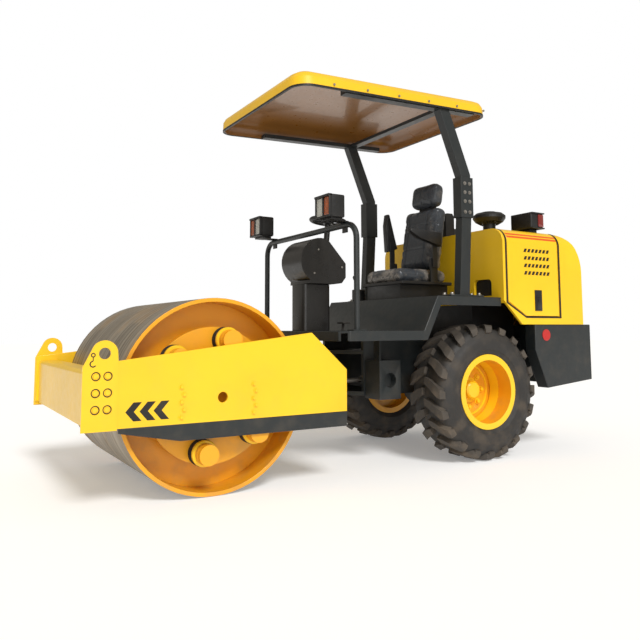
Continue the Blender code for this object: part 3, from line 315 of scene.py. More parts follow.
def make_wrapped_cloth():
    """Blue-grey seat cloth under creased clear film, with a pale haze that is partly the film's own, partly painted
    sheen, and a painted highlight along the folds.
    """
    material, tree, shader = new_material("film_wrapped_cloth", Coat_Weight=0.45, Coat_Roughness=0.1)
    film = place_group(tree, CRUMPLED_FILM)
    across = add_node(tree, "TexWave", {"bands_direction": "X"}, Vector=object_place(tree), Scale=420.0)
    along = add_node(tree, "TexWave", {"bands_direction": "Z"}, Vector=object_place(tree), Scale=420.0)
    weave = multiplied(tree, across.outputs["Fac"], along.outputs["Fac"])
    cloth = mixed(tree, weave, (0.020, 0.026, 0.034, 1), (0.038, 0.047, 0.060, 1))
    # Pale beige where the film bunches: partly the film's milky haze, partly painted sheen.
    haze_and_sheen = mixed(tree, multiplied(tree, film.outputs["Milky haze and sheen"], 0.55), cloth, (0.36, 0.31, 0.25, 1))
    # Paler beige along the fine folds: painted highlight.
    colour = mixed(tree, multiplied(tree, film.outputs["Fold highlights"], 0.45), haze_and_sheen, (0.55, 0.49, 0.41, 1))
    tree.links.new(colour, shader.inputs["Base Color"])
    tree.links.new(stepped(tree, film.outputs["Milky haze and sheen"], 0, 1, 0.65, 0.3), shader.inputs["Roughness"])
    bumped(tree, shader, added(tree, film.outputs["Height"], multiplied(tree, weave, 0.1)), 0.6, 0.006)
    return material


def make_lens(name, colour, ribs):
    material, tree, shader = new_material(name, Roughness=0.12, Coat_Weight=1.0, Coat_Roughness=0.03)
    wave = add_node(tree, "TexWave", {"bands_direction": "Y"}, Vector=object_place(tree), Scale=ribs)
    # Paler bands along the lens ribs: painted glint.
    pale = tuple(channel * 1.6 for channel in colour)
    tree.links.new(mixed(tree, wave.outputs["Fac"], (*colour, 1), (*pale, 1)), shader.inputs["Base Color"])
    bumped(tree, shader, wave.outputs["Fac"], 0.5, 0.002)
    return material


YELLOW_PAINT = weathered("yellow_paint", YELLOW, 0.34, grime=0.06, Coat_Weight=0.15, Coat_Roughness=0.1)
# The yellow paint's darker copy: painted shade, with grime on top.
SHADED_YELLOW_FINISH = weathered(
    "painted_shade_yellow", SHADED_YELLOW_COLOUR, 0.38, grime=0.25, Coat_Weight=0.15, Coat_Roughness=0.1
)
ROOF_PAINT = weathered(
    "roof_paint", (0.93, 0.55, 0.012), 0.36, grime=0.05, Coat_Weight=0.15, Coat_Roughness=0.1
)
# A dark orange-brown copy of the roof paint: painted shade for the roof's underside and the inner faces of its walls.
ROOF_UNDERSIDE_SHADE = weathered(
    "roof_underside_painted_shade", (0.30, 0.13, 0.030), 0.30, grime=0.10, grain=60.0, bump=0.02, Coat_Weight=0.3, Coat_Roughness=0.06
)
SLATE_PAINT = weathered("slate_paint", SLATE, 0.45, grime=0.10, Coat_Weight=0.1, Coat_Roughness=0.2)
BLACK_PLASTIC = weathered("black_plastic", (0.008, 0.008, 0.008), 0.45, grime=0.06, grain=520.0, bump=0.3)
CONSOLE_PLASTIC = weathered(
    "console_plastic", (0.012, 0.011, 0.010), 0.30, grime=0.05, grain=380.0, bump=0.15
)
# Dark rubber for the buffers, pedals and door seals; also a plate of painted shade inside the hood's port.
DARK_RUBBER_AND_SHADE = weathered("dark_rubber_and_painted_shade", (0.010, 0.009, 0.008), 0.7, grime=0.2, grain=160.0, bump=0.3)
TYRE_RUBBER = weathered(
    "tyre_rubber", (0.022, 0.020, 0.018), 0.62, grime=0.22, grain=120.0, bump=0.4, depth=0.001
)
TREAD_RUBBER = weathered(
    "tread_rubber", (0.060, 0.050, 0.040), 0.7, grime=0.35, grain=90.0, bump=0.5, depth=0.001
)
BOLT_STEEL = weathered("bolt_steel", (0.40, 0.38, 0.35), 0.35, grime=0.4, Metallic=0.85)
# Black for printed decals (chevrons, hook signs), and for painted shade in the lug counterbores, louvre slots and
# buffer holes.
PRINT_AND_SHADE_BLACK = weathered("print_and_painted_shade_black", (0.012, 0.010, 0.008), 0.35, grime=0.1)
# Dark brown for the band round each engine door: painted shade along the door gap.
GAP_SHADE_BROWN = weathered("door_gap_painted_shade", (0.020, 0.010, 0.004), 0.4, grime=0.1)
STRIPE_ORANGE = weathered("stripe_orange", (0.75, 0.10, 0.010), 0.35, grime=0.05)
SIGNAL_RED = weathered("signal_red", (0.50, 0.012, 0.010), 0.3, grime=0.1, Coat_Weight=0.3)
DRUM_STEEL = make_drum_steel()
WRAPPED_CLOTH = make_wrapped_cloth()
CLEAR_LENS = make_lens("clear_lens", (0.42, 0.42, 0.38), 60.0)
AMBER_LENS = make_lens("amber_lens", (0.30, 0.055, 0.003), 90.0)
RED_LENS = make_lens("red_lens", (0.16, 0.008, 0.006), 90.0)
DIAL_FACE, _, _ = new_material("dial_face", Base_Color=(0.75, 0.75, 0.72, 1), Roughness=0.3)

NODE_FINISH = {
    # finish: the frame's nodes that keep their own shape
    # The shaded yellow on the drum's carriers and heads is painted shade.
    SHADED_YELLOW_FINISH: "drum_carrier_left drum_carrier_right drum_head_left drum_head_right",
    SLATE_PAINT: "chassis_frame rear_axle articulation_hub steering_cylinder_barrel handrail",
    BLACK_PLASTIC: "exhaust_stack air_precleaner lever_console engine_block",
    BOLT_STEEL: "steering_cylinder_rod",
}
NODE_EDGES = {
    # node: (finish, width of the rounded edge)
    "hood_shell": (YELLOW_PAINT, 0.004),
    "engine_door_left": (YELLOW_PAINT, 0.003),
    "engine_door_right": (YELLOW_PAINT, 0.003),
    "side_plate_left": (YELLOW_PAINT, 0.002),
    "side_plate_right": (YELLOW_PAINT, 0.002),
    "front_beam": (YELLOW_PAINT, 0.003),
    "rear_beam": (YELLOW_PAINT, 0.003),
    "rear_counterweight": (SLATE_PAINT, 0.005),
    "operator_platform": (SLATE_PAINT, 0.003),
    "frame_side_box": (SLATE_PAINT, 0.003),
    "lower_guard_left": (SLATE_PAINT, 0.002),
    "lower_guard_right": (SLATE_PAINT, 0.002),
    "scraper_front": (SLATE_PAINT, 0.002),
    "scraper_rear": (SLATE_PAINT, 0.002),
    "rops_post_left": (SLATE_PAINT, 0.006),
    "rops_post_right": (SLATE_PAINT, 0.006),
    "rops_top_frame": (SLATE_PAINT, 0.005),
    "console_pedestal": (CONSOLE_PLASTIC, 0.003),
    "console_head": (CONSOLE_PLASTIC, 0.020),
    "seat_base": (BLACK_PLASTIC, 0.004),
    "seat_back_frame": (BLACK_PLASTIC, 0.004),
    "armrest_left": (BLACK_PLASTIC, 0.006),
    "armrest_right": (BLACK_PLASTIC, 0.006),
}


# Shapes


def add_block(bm, low, high, edge=0.0, segments=2):
    middle, size = (Vector(low) + Vector(high)) / 2, Vector(high) - Vector(low)
    place = Matrix.Translation(middle) @ Matrix.Diagonal((*size, 1))
    made = bmesh.ops.create_cube(bm, size=1, matrix=place)["verts"]
    if edge:
        round_off(bm, made, edge, segments)
    return made


def round_off(bm, verts, edge, segments=2):
    edges = list({e for v in verts for e in v.link_edges})
    bmesh.ops.bevel(
        bm,
        geom=edges,
        offset=edge,
        offset_type="OFFSET",
        segments=segments,
        profile=0.5,
        affect="EDGES",
        clamp_overlap=True,
        material=-1,
    )


def facing(axis):
    return Vector((0, 0, 1)).rotation_difference(Vector(axis)).to_matrix().to_4x4()


def add_rod(bm, start, end, radius, steps=24, end_radius=None):
    start, along = Vector(start), Vector(end) - Vector(start)
    place = Matrix.Translation(start + along / 2) @ facing(along)
    top = radius if end_radius is None else end_radius
    made = bmesh.ops.create_cone(
        bm, cap_ends=True, segments=steps, radius1=radius, radius2=top, depth=along.length, matrix=place
    )
    return made["verts"]


def add_turned(bm, profile, centre, axis, steps=48):
    """A closed (radius, along) profile, spun once."""
    verts = [bm.verts.new((radius, 0, along)) for radius, along in profile]
    edges = [bm.edges.new((verts[i - 1], verts[i])) for i in range(len(verts))]
    bmesh.ops.spin(
        bm, geom=verts + edges, cent=(0, 0, 0), axis=(0, 0, 1), angle=2 * pi, steps=steps, use_merge=True
    )
    seen, queue = set(verts), list(verts)
    while queue:
        for edge in queue.pop().link_edges:
            for v in edge.verts:
                if v not in seen:
                    seen.add(v)
                    queue.append(v)
    bmesh.ops.transform(bm, matrix=Matrix.Translation(centre) @ facing(axis), verts=list(seen))
    return list(seen)


def add_flat(bm, outline, across, low, high):
    """A flat shape between low and high: (x, z) across Y, (x, y) across Z, (y, z) across X."""
    spread = {
        "X": lambda a, b, c: (c, a, b),
        "Y": lambda a, b, c: (a, c, b),
        "Z": lambda a, b, c: (a, b, c),
    }[across]
    face = bm.faces.new([bm.verts.new(spread(a, b, low)) for a, b in outline])
    pushed = bmesh.ops.extrude_face_region(bm, geom=[face])
    moved = [g for g in pushed["geom"] if isinstance(g, bmesh.types.BMVert)]
    bmesh.ops.translate(bm, verts=moved, vec=Vector(spread(0, 0, high)) - Vector(spread(0, 0, low)))
    return moved + list(face.verts)


def arc(centre, radius, start, end, steps):
    angles = [radians(start + (end - start) * i / steps) for i in range(steps + 1)]
    return [(centre[0] + radius * cos(a), centre[1] + radius * sin(a)) for a in angles]


def add_bolt(bm, place, axis, across, proud):
    """A hexagon head on a washer, standing out along the axis."""
    place, axis = Vector(place), Vector(axis).normalized()
    add_rod(bm, place - axis * 0.001, place + axis * proud * 0.25, across * 0.75, 20)
    head = add_rod(bm, place + axis * proud * 0.25, place + axis * proud, across / 2, 6)
    round_off(bm, head, across * 0.06, 1)


def add_mirrored(bm):
    """The same shapes on the other side."""
    bmesh.ops.mirror(bm, geom=bm.verts[:] + bm.edges[:] + bm.faces[:], axis="Y", merge_dist=0)


def make_piece(name, bm, material, body, replaces=(), smooth=35):
    bmesh.ops.recalc_face_normals(bm, faces=bm.faces)
    mesh = bpy.data.meshes.new(name)
    bm.to_mesh(mesh)
    bm.free()
    mesh.materials.append(material)
    mesh.shade_smooth()
    mesh.set_sharp_from_angle(angle=radians(smooth))
    obj = bpy.data.objects.new(name, mesh)
    bpy.context.scene.collection.objects.link(obj)
    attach(obj, body)
    if replaces:
        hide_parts(*replaces)
    return obj


def body_of_node(name):
    return next(body for body, nodes in frame["record"]["behaviour"]["bodies"].items() if name in nodes)


def round_node_edges(name, material, width):
    """A copy of the node with its sharp edges rounded."""
    bm = bmesh.new()
    bm.from_mesh(frame["nodes"][name].data)
    bmesh.ops.remove_doubles(bm, verts=bm.verts, dist=1e-5)
    bmesh.ops.dissolve_limit(bm, angle_limit=radians(0.5), verts=bm.verts, edges=bm.edges)
    obj = make_piece(f"{name}_formed", bm, material, body_of_node(name), [name])
    bevel = obj.modifiers.new("rounded_edges", "BEVEL")
    bevel.width, bevel.segments = width, 2
    bevel.limit_method, bevel.angle_limit = "ANGLE", radians(40)
    return obj


def finish_nodes():
    for material, names in NODE_FINISH.items():
        for name in names.split():
            slots = frame["nodes"][name].material_slots
            for each in slots:
                each.material = material
    for name, (material, width) in NODE_EDGES.items():
        round_node_edges(name, material, width)
    roof = round_node_edges("canopy_roof", ROOF_PAINT, 0.003)
    # Faces that look down or inwards take the dark orange-brown: painted shade.
    paint_faces(roof, ROOF_UNDERSIDE_SHADE, lambda centre, normal: normal.z < -0.2 or is_inside_roof(centre, normal))
    drum = round_node_edges("drum_shell", DRUM_STEEL, 0.002)
    # The drum's inner faces and ends take the shaded yellow: painted shade.
    paint_faces(drum, SHADED_YELLOW_FINISH, is_inside_drum)
    for side, sign in SIDES:
        lip = sign * TYRE_MID_Y + sign * (TYRE_HALF - 0.045)
        rim = round_node_edges(f"rim_{side}", YELLOW_PAINT, 0.001)
        # The rim's inner faces take the shaded yellow: painted shade.
        paint_faces(rim, SHADED_YELLOW_FINISH, lambda centre, normal: centre.y * sign < lip * sign)


def is_inside_roof(centre, normal):
    """The inner faces of the roof's walls look towards its middle."""
    middle = Vector(((CANOPY_LOW.x + CANOPY_HIGH.x) / 2, 0, centre.z))
    return normal.z < 0.5 and normal.dot(middle - centre) > 0


def is_inside_drum(centre, normal):
    out = Vector((centre.x - DRUM_X, 0, centre.z - DRUM_RADIUS))
    return abs(normal.y) > 0.5 or normal.dot(out) < 0


def paint_faces(obj, material, picked):
    """A second finish for the faces that the rule picks."""
    obj.data.materials.append(material)
    for face in obj.data.polygons:
        if picked(face.center, face.normal):
            face.material_index = 1


# Wheels


def build_tyres():
    half, low = TYRE_HALF, TYRE_RADIUS * 0.488
    carcass = [
        (low, half - 0.026),
        (low + 0.030, half - 0.022),
        (low + 0.038, half - 0.012),
        (low + 0.052, half - 0.010),
        (low + 0.056, half - 0.004),
        (low + 0.085, half - 0.001),
        (low + 0.122, half - 0.001),
        (low + 0.126, half - 0.005),
        (low + 0.150, half - 0.012),
        (CARCASS_RADIUS - 0.015, half - 0.024),
        (CARCASS_RADIUS - 0.002, half - 0.045),
        (CARCASS_RADIUS, half - 0.075),
    ]
    carcass += [(radius, -along) for radius, along in reversed(carcass)]
    for side, sign in SIDES:
        centre = Vector((AXLE_X, sign * TYRE_MID_Y, TYRE_RADIUS))
        bm = bmesh.new()
        add_turned(bm, carcass, centre, (0, 1, 0), 96)
        make_piece(f"tyre_carcass_{side}", bm, TYRE_RUBBER, f"wheel_{side}", [f"tyre_{side}"], 50)
        build_tread(side, centre)


def build_tread(side, centre):
    """Slanting bars that meet near the middle, half a step apart from side to side."""
    half, top = TYRE_HALF, TYRE_RADIUS - 0.0005
    bar = [
        # along, outer radius, slant in degrees, half-width
        (half - 0.006, top - 0.052, -0.6, 0.022),
        (half - 0.006, top - 0.036, 0.0, 0.026),
        (half - 0.014, top - 0.014, 0.8, 0.030),
        (half - 0.030, top - 0.004, 2.2, 0.031),
        (half - 0.065, top - 0.001, 5.4, 0.029),
        (half - 0.105, top, 8.8, 0.026),
        (half - 0.148, top, 11.0, 0.021),
    ]
    bm = bmesh.new()
    for way in (1, -1):
        for number in range(LUG_COUNT):
            start = 360 / LUG_COUNT * (number + (0 if way > 0 else 0.5))
            made = bmesh.ops.create_grid(bm, x_segments=1, y_segments=len(bar) - 1, size=1)["verts"]
            face_set = list({f for v in made for f in v.link_faces})
            pushed = bmesh.ops.extrude_face_region(bm, geom=face_set)
            tops = {g for g in pushed["geom"] if isinstance(g, bmesh.types.BMVert)}
            for v in list(made) + list(tops):
                along, radius, slant, width = bar[round((v.co.y + 1) / 2 * (len(bar) - 1))]
                sunk = 0 if v in tops else min(0.034, radius - CARCASS_RADIUS + 0.040)
                spread = v.co.x * (width + (0.003 if sunk else 0)) / TYRE_RADIUS
                angle = radians(start + slant) + spread
                if sunk and radius < CARCASS_RADIUS:
                    sunk = 0.012
                    along -= 0.022
                r = radius - sunk
                v.co = centre + Vector((r * cos(angle), way * along, r * sin(angle)))
    make_piece(f"tyre_tread_{side}", bm, TREAD_RUBBER, f"wheel_{side}", smooth=30)


def build_rim_details():
    for side, sign in SIDES:
        bm = bmesh.new()
        centre = Vector((AXLE_X, sign * TYRE_MID_Y, TYRE_RADIUS))
        out = Vector((0, sign, 0))
        disc = centre - out * 0.052
        hub = [
            (0, -0.004),
            (0.082, -0.004),
            (0.080, 0.010),
            (0.058, 0.014),
            (0.055, 0.050),
            (0.046, 0.058),
            (0, 0.060),
        ]
        add_turned(bm, hub, disc, out, 40)
        ridge = [(0.150, -0.004), (0.166, -0.004), (0.163, 0.006), (0.153, 0.006)]
        add_turned(bm, ridge, disc, out, 64)
        well = [(0.186, 0.010), (0.195, -0.004), (0.199, -0.004), (0.199, 0.090), (0.196, 0.090)]
        add_turned(bm, well, disc, out, 64)
        make_piece(f"rim_hub_{side}", bm, YELLOW_PAINT, f"wheel_{side}")
        bm = bmesh.new()
        for number in range(8):
            turn = 2 * pi * number / 8
            place = disc + Vector((0.108 * cos(turn), 0, 0.108 * sin(turn)))
            add_bolt(bm, place, out, 0.027, 0.020)
        valve = centre + Vector((0, 0, -0.178))
        add_rod(bm, valve - out * 0.03, valve + out * 0.02 + Vector((0, 0, -0.002)), 0.005, 10)
        make_piece(f"wheel_nuts_{side}", bm, YELLOW_PAINT, f"wheel_{side}")


# Drum frame


def build_chevrons():
    bm = bmesh.new()
    tip, step, tall = LUG_LOW.x - 0.038, 0.064, 0.042
    middle = PLATE_LOW.z + 0.070
    for number in range(3):
        x = tip - number * step
        outline = [
            (x, middle),
            (x - 0.036, middle + tall),
            (x - 0.074, middle + tall),
            (x - 0.038, middle),
            (x - 0.074, middle - tall),
            (x - 0.036, middle - tall),
        ]
        add_flat(bm, outline, "Y", PLATE_HIGH.y, PLATE_HIGH.y + 0.0006)
    add_mirrored(bm)
    make_piece("side_chevrons", bm, PRINT_AND_SHADE_BLACK, FRONT)


def build_frame_bolts():
    """Two groups of small staggered heads on each side plate."""
    bm = bmesh.new()
    for x, step in ((DRUM_X + 0.208, -0.013), (DRUM_X - 0.164, -0.012)):
        for number in range(5):
            z = PLATE_LOW.z + 0.030 + number * 0.035
            add_bolt(bm, (x + (step if number % 2 else 0), PLATE_HIGH.y, z), (0, 1, 0), 0.019, 0.009)
    add_mirrored(bm)
    make_piece("plate_bolts", bm, YELLOW_PAINT, FRONT)


def lug_bolt_places():
    for x in (LUG_HIGH.x - 0.058, LUG_HIGH.x - 0.110):
        for row in range(3):
            yield x, LUG_LOW.z + 0.094 + row * 0.073


def build_lugs():
    """The lug plates, with six bolt heads sunk into counterbores, each with a black disc of painted shade at its floor.
    """
    floor, past = LUG_HIGH.y - LUG_POCKET_DEPTH, LUG_HIGH.y + 0.02
    rings, heads = bmesh.new(), bmesh.new()
    for x, z in lug_bolt_places():
        # A black disc at the counterbore's floor: painted shade round the head.
        add_rod(rings, (x, floor - 0.001, z), (x, floor + 0.0006, z), LUG_POCKET_RADIUS - 0.0004, 32)
        add_rod(heads, (x, floor, z), (x, floor + 0.0035, z), 0.0150, 32)
        cap = add_rod(heads, (x, floor + 0.0035, z), (x, LUG_HIGH.y - 0.0002, z), 0.0120, 6)
        round_off(heads, cap, 0.0008, 1)
    for bm in (rings, heads):
        add_mirrored(bm)
    make_piece("lug_pocket_painted_shade", rings, PRINT_AND_SHADE_BLACK, FRONT)
    make_piece("lug_bolt_heads", heads, YELLOW_PAINT, FRONT)
    for side, sign in SIDES:
        pockets = bmesh.new()
        for x, z in lug_bolt_places():
            add_rod(pockets, (x, sign * floor, z), (x, sign * past, z), LUG_POCKET_RADIUS, 32)
        lug = round_node_edges(f"lifting_lug_{side}", YELLOW_PAINT, 0.0015)
        cut_away(lug, pockets)


def cut_away(obj, cutter_bm):
    """The object less the cutter's shapes; its modifiers are cleared, so its edges are left unrounded."""
    bmesh.ops.recalc_face_normals(cutter_bm, faces=cutter_bm.faces)
    mesh = bpy.data.meshes.new("cutter")
    cutter_bm.to_mesh(mesh)
    cutter_bm.free()
    cutter = bpy.data.objects.new("cutter", mesh)
    bpy.context.scene.collection.objects.link(cutter)
    obj.modifiers.clear()
    cut = obj.modifiers.new("pockets", "BOOLEAN")
    cut.operation, cut.solver, cut.object = "DIFFERENCE", "EXACT", cutter
    obj.data = bpy.data.meshes.new_from_object(obj.evaluated_get(bpy.context.evaluated_depsgraph_get()))
    obj.modifiers.clear()
    bpy.data.objects.remove(cutter)
    obj.data.shade_smooth()
    obj.data.set_sharp_from_angle(angle=radians(35))


def build_hook_signs():
    """A plain hook beside each lifting eye."""
    bm = bmesh.new()
    x, top = LUG_LOW.x + 0.110, LUG_HIGH.z - 0.064
    low, high = LUG_HIGH.y - 0.002, LUG_HIGH.y + 0.0001

    def strip(centre, radius, width, start, end, steps):
        outer = arc(centre, radius + width / 2, start, end, steps)
        inner = arc(centre, radius - width / 2, end, start, steps)
        add_flat(bm, outer + inner, "Y", low, high)

    for half in (0, 180):
        strip((x, top), 0.008, 0.005, half, half + 180, 8)
    rear, front, upper, lower = x - 0.0022, x + 0.0022, top - 0.010, top - 0.026
    add_flat(bm, [(rear, upper), (front, upper), (front, lower), (rear, lower)], "Y", low, high)
    strip((x, top - 0.039), 0.0125, 0.0055, 90, -150, 14)
    add_mirrored(bm)
    make_piece("hook_signs", bm, PRINT_AND_SHADE_BLACK, FRONT)


def build_buffers():
    """Rubber rings and steel caps round the drum's end, and gussets behind the lugs."""
    rubber, caps = bmesh.new(), bmesh.new()
    disc_y = CARRIER_HIGH.y - 0.121
    for number in range(BUFFER_COUNT):
        turn = radians(BUFFER_START + 360 / BUFFER_COUNT * number)
        x = DRUM_X + BUFFER_CIRCLE * cos(turn)
        z = DRUM_RADIUS + BUFFER_CIRCLE * sin(turn)
        bore, edge = BUFFER_RADIUS - 0.004, BUFFER_RADIUS + 0.016
        ring = [(bore, 0), (edge, 0.002), (edge - 0.008, 0.020), (edge, 0.038), (bore, 0.040)]
        add_turned(rubber, ring, (x, disc_y, z), (0, 1, 0), 32)
        cap = [(bore, 0), (edge - 0.002, 0), (edge - 0.002, 0.014), (edge - 0.006, 0.018), (bore, 0.018)]
        add_turned(caps, cap, (x, disc_y + 0.044, z), (0, 1, 0), 32)
    for bm in (rubber, caps):
        add_mirrored(bm)
    make_piece("buffer_rubbers", rubber, DARK_RUBBER_AND_SHADE, FRONT)
    make_piece("buffer_caps", caps, YELLOW_PAINT, FRONT)
    build_buffer_bolts()
    gussets = bmesh.new()
    beam_low, beam_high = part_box("front_beam")
    face, tip, foot, y = beam_high.x - 0.002, LUG_HIGH.x - 0.004, beam_low.z + 0.01, beam_high.y - 0.016
    add_flat(gussets, [(face, foot), (tip, foot), (face, beam_high.z - 0.02)], "Y", y, y + 0.010)
    add_mirrored(gussets)
    make_piece("beam_gussets", gussets, YELLOW_PAINT, FRONT)


def build_buffer_bolts():
    """A painted sleeve round each buffer that shows past the plate, in the shaded yellow (painted shade), with three
    small holes in its face drawn as black discs of painted shade.
    """
    sleeves, holes = bmesh.new(), bmesh.new()
    face = CARRIER_HIGH.y
    low, high = face - 0.034, face - 0.0285
    for number in range(BUFFER_COUNT):
        turn = radians(BUFFER_START + 360 / BUFFER_COUNT * number)
        x, z = DRUM_X + BUFFER_CIRCLE * cos(turn), DRUM_RADIUS + BUFFER_CIRCLE * sin(turn)
        if abs(z - (PLATE_LOW.z + PLATE_HIGH.z) / 2) < 0.12:
            continue
        add_rod(sleeves, (x, face - 0.070, z), (x, face - 0.030, z), BUFFER_RADIUS + 0.0015, 40)
        for dx, dz, radius in ((0.012, 0.016, 0.008), (-0.020, -0.016, 0.006), (0.020, -0.016, 0.006)):
            # Black discs for the holes: painted shade in the openings.
            add_rod(holes, (x + dx, low, z + dz), (x + dx, high, z + dz), radius, 16)
    for bm in (sleeves, holes):
        add_mirrored(bm)
    # The sleeves take the shaded yellow: painted shade behind the plate.
    make_piece("buffer_sleeves", sleeves, SHADED_YELLOW_FINISH, FRONT)
    make_piece("buffer_hole_shade", holes, PRINT_AND_SHADE_BLACK, FRONT)


def build_scraper_blades():
    bm = bmesh.new()
    for name, sign in (("scraper_front", 1), ("scraper_rear", -1)):
        low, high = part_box(name)
        x = high.x - 0.022 if sign > 0 else low.x + 0.022
        for y in (-0.45, -0.27, 0.27, 0.45):
            add_bolt(bm, (x, y, high.z), (0, 0, 1), 0.018, 0.010)
    make_piece("scraper_bolts", bm, BOLT_STEEL, FRONT)


# Hood


def build_louvres():
    """Rows of slanted slots with pressed lips, on each engine door; each slot holds a black plate of painted shade."""
    for side, sign in SIDES:
        slots, lips = bmesh.new(), bmesh.new()
        face = DOOR_HIGH.y
        for row in range(4):
            z = DOOR_HIGH.z - 0.143 - row * 0.050
            low, high = z - 0.012, z + 0.012
            start = DOOR_HIGH.x - 0.150
            for number in range(7):
                x = start - number * 0.036
                slot = [(x, low), (x - 0.012, high), (x - 0.033, high), (x - 0.021, low)]
                # A black plate in the slot: painted shade in the opening.
                add_flat(slots, slot, "Y", face - 0.002, face + 0.0005)
                lip = [(x - 0.0332, high), (x - 0.0382, high), (x - 0.0262, low), (x - 0.0212, low)]
                add_flat(lips, lip, "Y", face - 0.002, face + 0.0035)
        for bm in (slots, lips):
            bmesh.ops.scale(bm, vec=(1, sign, 1), verts=bm.verts)
        make_piece(f"louvre_slot_shade_{side}", slots, PRINT_AND_SHADE_BLACK, f"engine_door_{side}")
        make_piece(f"louvre_lips_{side}", lips, YELLOW_PAINT, f"engine_door_{side}")


def build_door_trim():
    """Two stripes over the shoulder, and the door's latch with its paddle."""
    shoulder = 0.10
    centre = (HOOD_HIGH.y - shoulder, HOOD_HIGH.z - shoulder)
    for side, sign in SIDES:
        stripes, latch, plate = bmesh.new(), bmesh.new(), bmesh.new()
        for start in (20, 33):
            outer = arc(centre, shoulder + 0.0006, start, start + 8, 3)
            inner = arc(centre, shoulder - 0.001, start + 8, start, 3)
            add_flat(stripes, outer + inner, "X", DOOR_LOW.x + 0.004, DOOR_HIGH.x - 0.004)
        face = DOOR_HIGH.y
        x, z = DOOR_HIGH.x - 0.245, DOOR_LOW.z + 0.034
        add_block(latch, (x - 0.066, face - 0.002, z), (x, face + 0.006, z + 0.138), 0.002)
        add_block(plate, (x - 0.054, face + 0.005, z + 0.012), (x - 0.012, face + 0.010, z + 0.098), 0.003)
        lock_x, lock_z = x - 0.033, z + 0.070
        add_rod(plate, (lock_x, face + 0.009, lock_z), (lock_x, face + 0.0135, lock_z), 0.010, 20)
        for bm in (stripes, latch, plate):
            bmesh.ops.scale(bm, vec=(1, sign, 1), verts=bm.verts)
        body = f"engine_door_{side}"
        make_piece(f"door_stripes_{side}", stripes, STRIPE_ORANGE, body)
        make_piece(f"door_latch_{side}", latch, BLACK_PLASTIC, body)
        make_piece(f"latch_paddle_{side}", plate, CONSOLE_PLASTIC, body)


def build_door_seals():
    """The dark rubber seen in the gap round each engine door."""
    bm = bmesh.new()
    gap = 0.006
    low, high = DOOR_LOW.z - gap, HOOD_HIGH.z - 0.095
    face = HOOD_HIGH.y - 0.014
    rear, front = DOOR_LOW.x - gap, DOOR_HIGH.x + gap
    knee_z, knee_x = HOOD_LOW.z + 0.150, DOOR_HIGH.x - 0.165
    run = [(rear, high), (rear, low), (knee_x, low), (front, knee_z), (front, high)]
    for (ax, az), (bx, bz) in zip(run, run[1:]):
        way = Vector((bx - ax, bz - az)).normalized()
        sx, sz = Vector((-way.y, way.x)) * (gap + 0.006)
        outline = [(ax - sx, az - sz), (bx - sx, bz - sz), (bx + sx, bz + sz), (ax + sx, az + sz)]
        add_flat(bm, outline, "Y", face - 0.018, face - 0.008)
    add_mirrored(bm)
    make_piece("door_seals", bm, DARK_RUBBER_AND_SHADE, REAR)


def build_door_bands():
    """A wide dark brown band of painted shade on the hood, round the sides and the foot of each engine door, along the
    door gap.
    """
    bm = bmesh.new()
    gap, wide = 0.005, 0.015
    outer_x, inner_x = DOOR_HIGH.x + gap + wide, DOOR_HIGH.x + gap
    rear_in, rear_out = DOOR_LOW.x - gap, DOOR_LOW.x - gap - wide
    foot_in, foot_out = DOOR_LOW.z - gap, DOOR_LOW.z - gap - wide * 0.6
    knee_x, knee_z = DOOR_HIGH.x - 0.165 + gap * 0.4, HOOD_LOW.z + 0.150 - gap
    knee_x_out, knee_z_out = knee_x + wide * 0.2, knee_z - wide * 0.4
    top = HOOD_HIGH.z - 0.105
    low, high = HOOD_HIGH.y - 0.0005, HOOD_HIGH.y + 0.0012
    add_flat(bm, [(inner_x, top), (outer_x, top), (outer_x, knee_z_out), (inner_x, knee_z)], "Y", low, high)
    slope = [(inner_x, knee_z), (outer_x, knee_z_out), (knee_x_out, foot_out), (knee_x, foot_in)]
    add_flat(bm, slope, "Y", low, high)
    foot = [(knee_x, foot_in), (knee_x_out, foot_out), (rear_out, foot_out), (rear_in, foot_in)]
    add_flat(bm, foot, "Y", low, high)
    rear = [(rear_in, foot_in), (rear_out, foot_out), (rear_out, top), (rear_in, top)]
    add_flat(bm, rear, "Y", low, high)
    shoulder = 0.10
    centre = (HOOD_HIGH.y - shoulder, HOOD_HIGH.z - shoulder)
    for x0, x1 in ((inner_x, outer_x), (rear_out, rear_in)):
        outer = arc(centre, shoulder + 0.0012, -3, 78, 14)
        inner = arc(centre, shoulder - 0.0006, 78, -3, 14)
        add_flat(bm, outer + inner, "X", x0, x1)
    add_mirrored(bm)
    make_piece("door_gap_shade", bm, GAP_SHADE_BROWN, REAR)


def build_cleaner_fins():
    low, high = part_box("air_precleaner")
    centre = (low + high) / 2
    bm = bmesh.new()
    for number in range(26):
        turn = 2 * pi * number / 26
        out = Vector((cos(turn), sin(turn), 0))
        base = Vector((centre.x, centre.y, low.z + 0.096))
        add_rod(bm, base + out * 0.060, base + out * 0.098 + Vector((0, 0, 0.022)), 0.0035, 6)
    add_rod(bm, (centre.x, centre.y, low.z + 0.02), (centre.x, centre.y, low.z + 0.036), 0.052, 32)
    tall = high.z - low.z
    dome = [(0, tall - 0.006), (0.060, tall - 0.006), (0.052, tall + 0.001), (0, tall + 0.003)]
    add_turned(bm, dome, (centre.x, centre.y, low.z), (0, 0, 1), 40)
    make_piece("cleaner_fins", bm, BLACK_PLASTIC, REAR)


def build_rear_disc():
    """A plain red reflector on each side of the counterweight."""
    bm = bmesh.new()
    x, y, z = WEIGHT_LOW.x + 0.455, WEIGHT_HIGH.y, WEIGHT_HIGH.z - 0.070
    add_rod(bm, (x, y - 0.001, z), (x, y + 0.003, z), 0.038, 48)
    add_mirrored(bm)
    make_piece("weight_reflectors", bm, SIGNAL_RED, REAR)


# Lamps


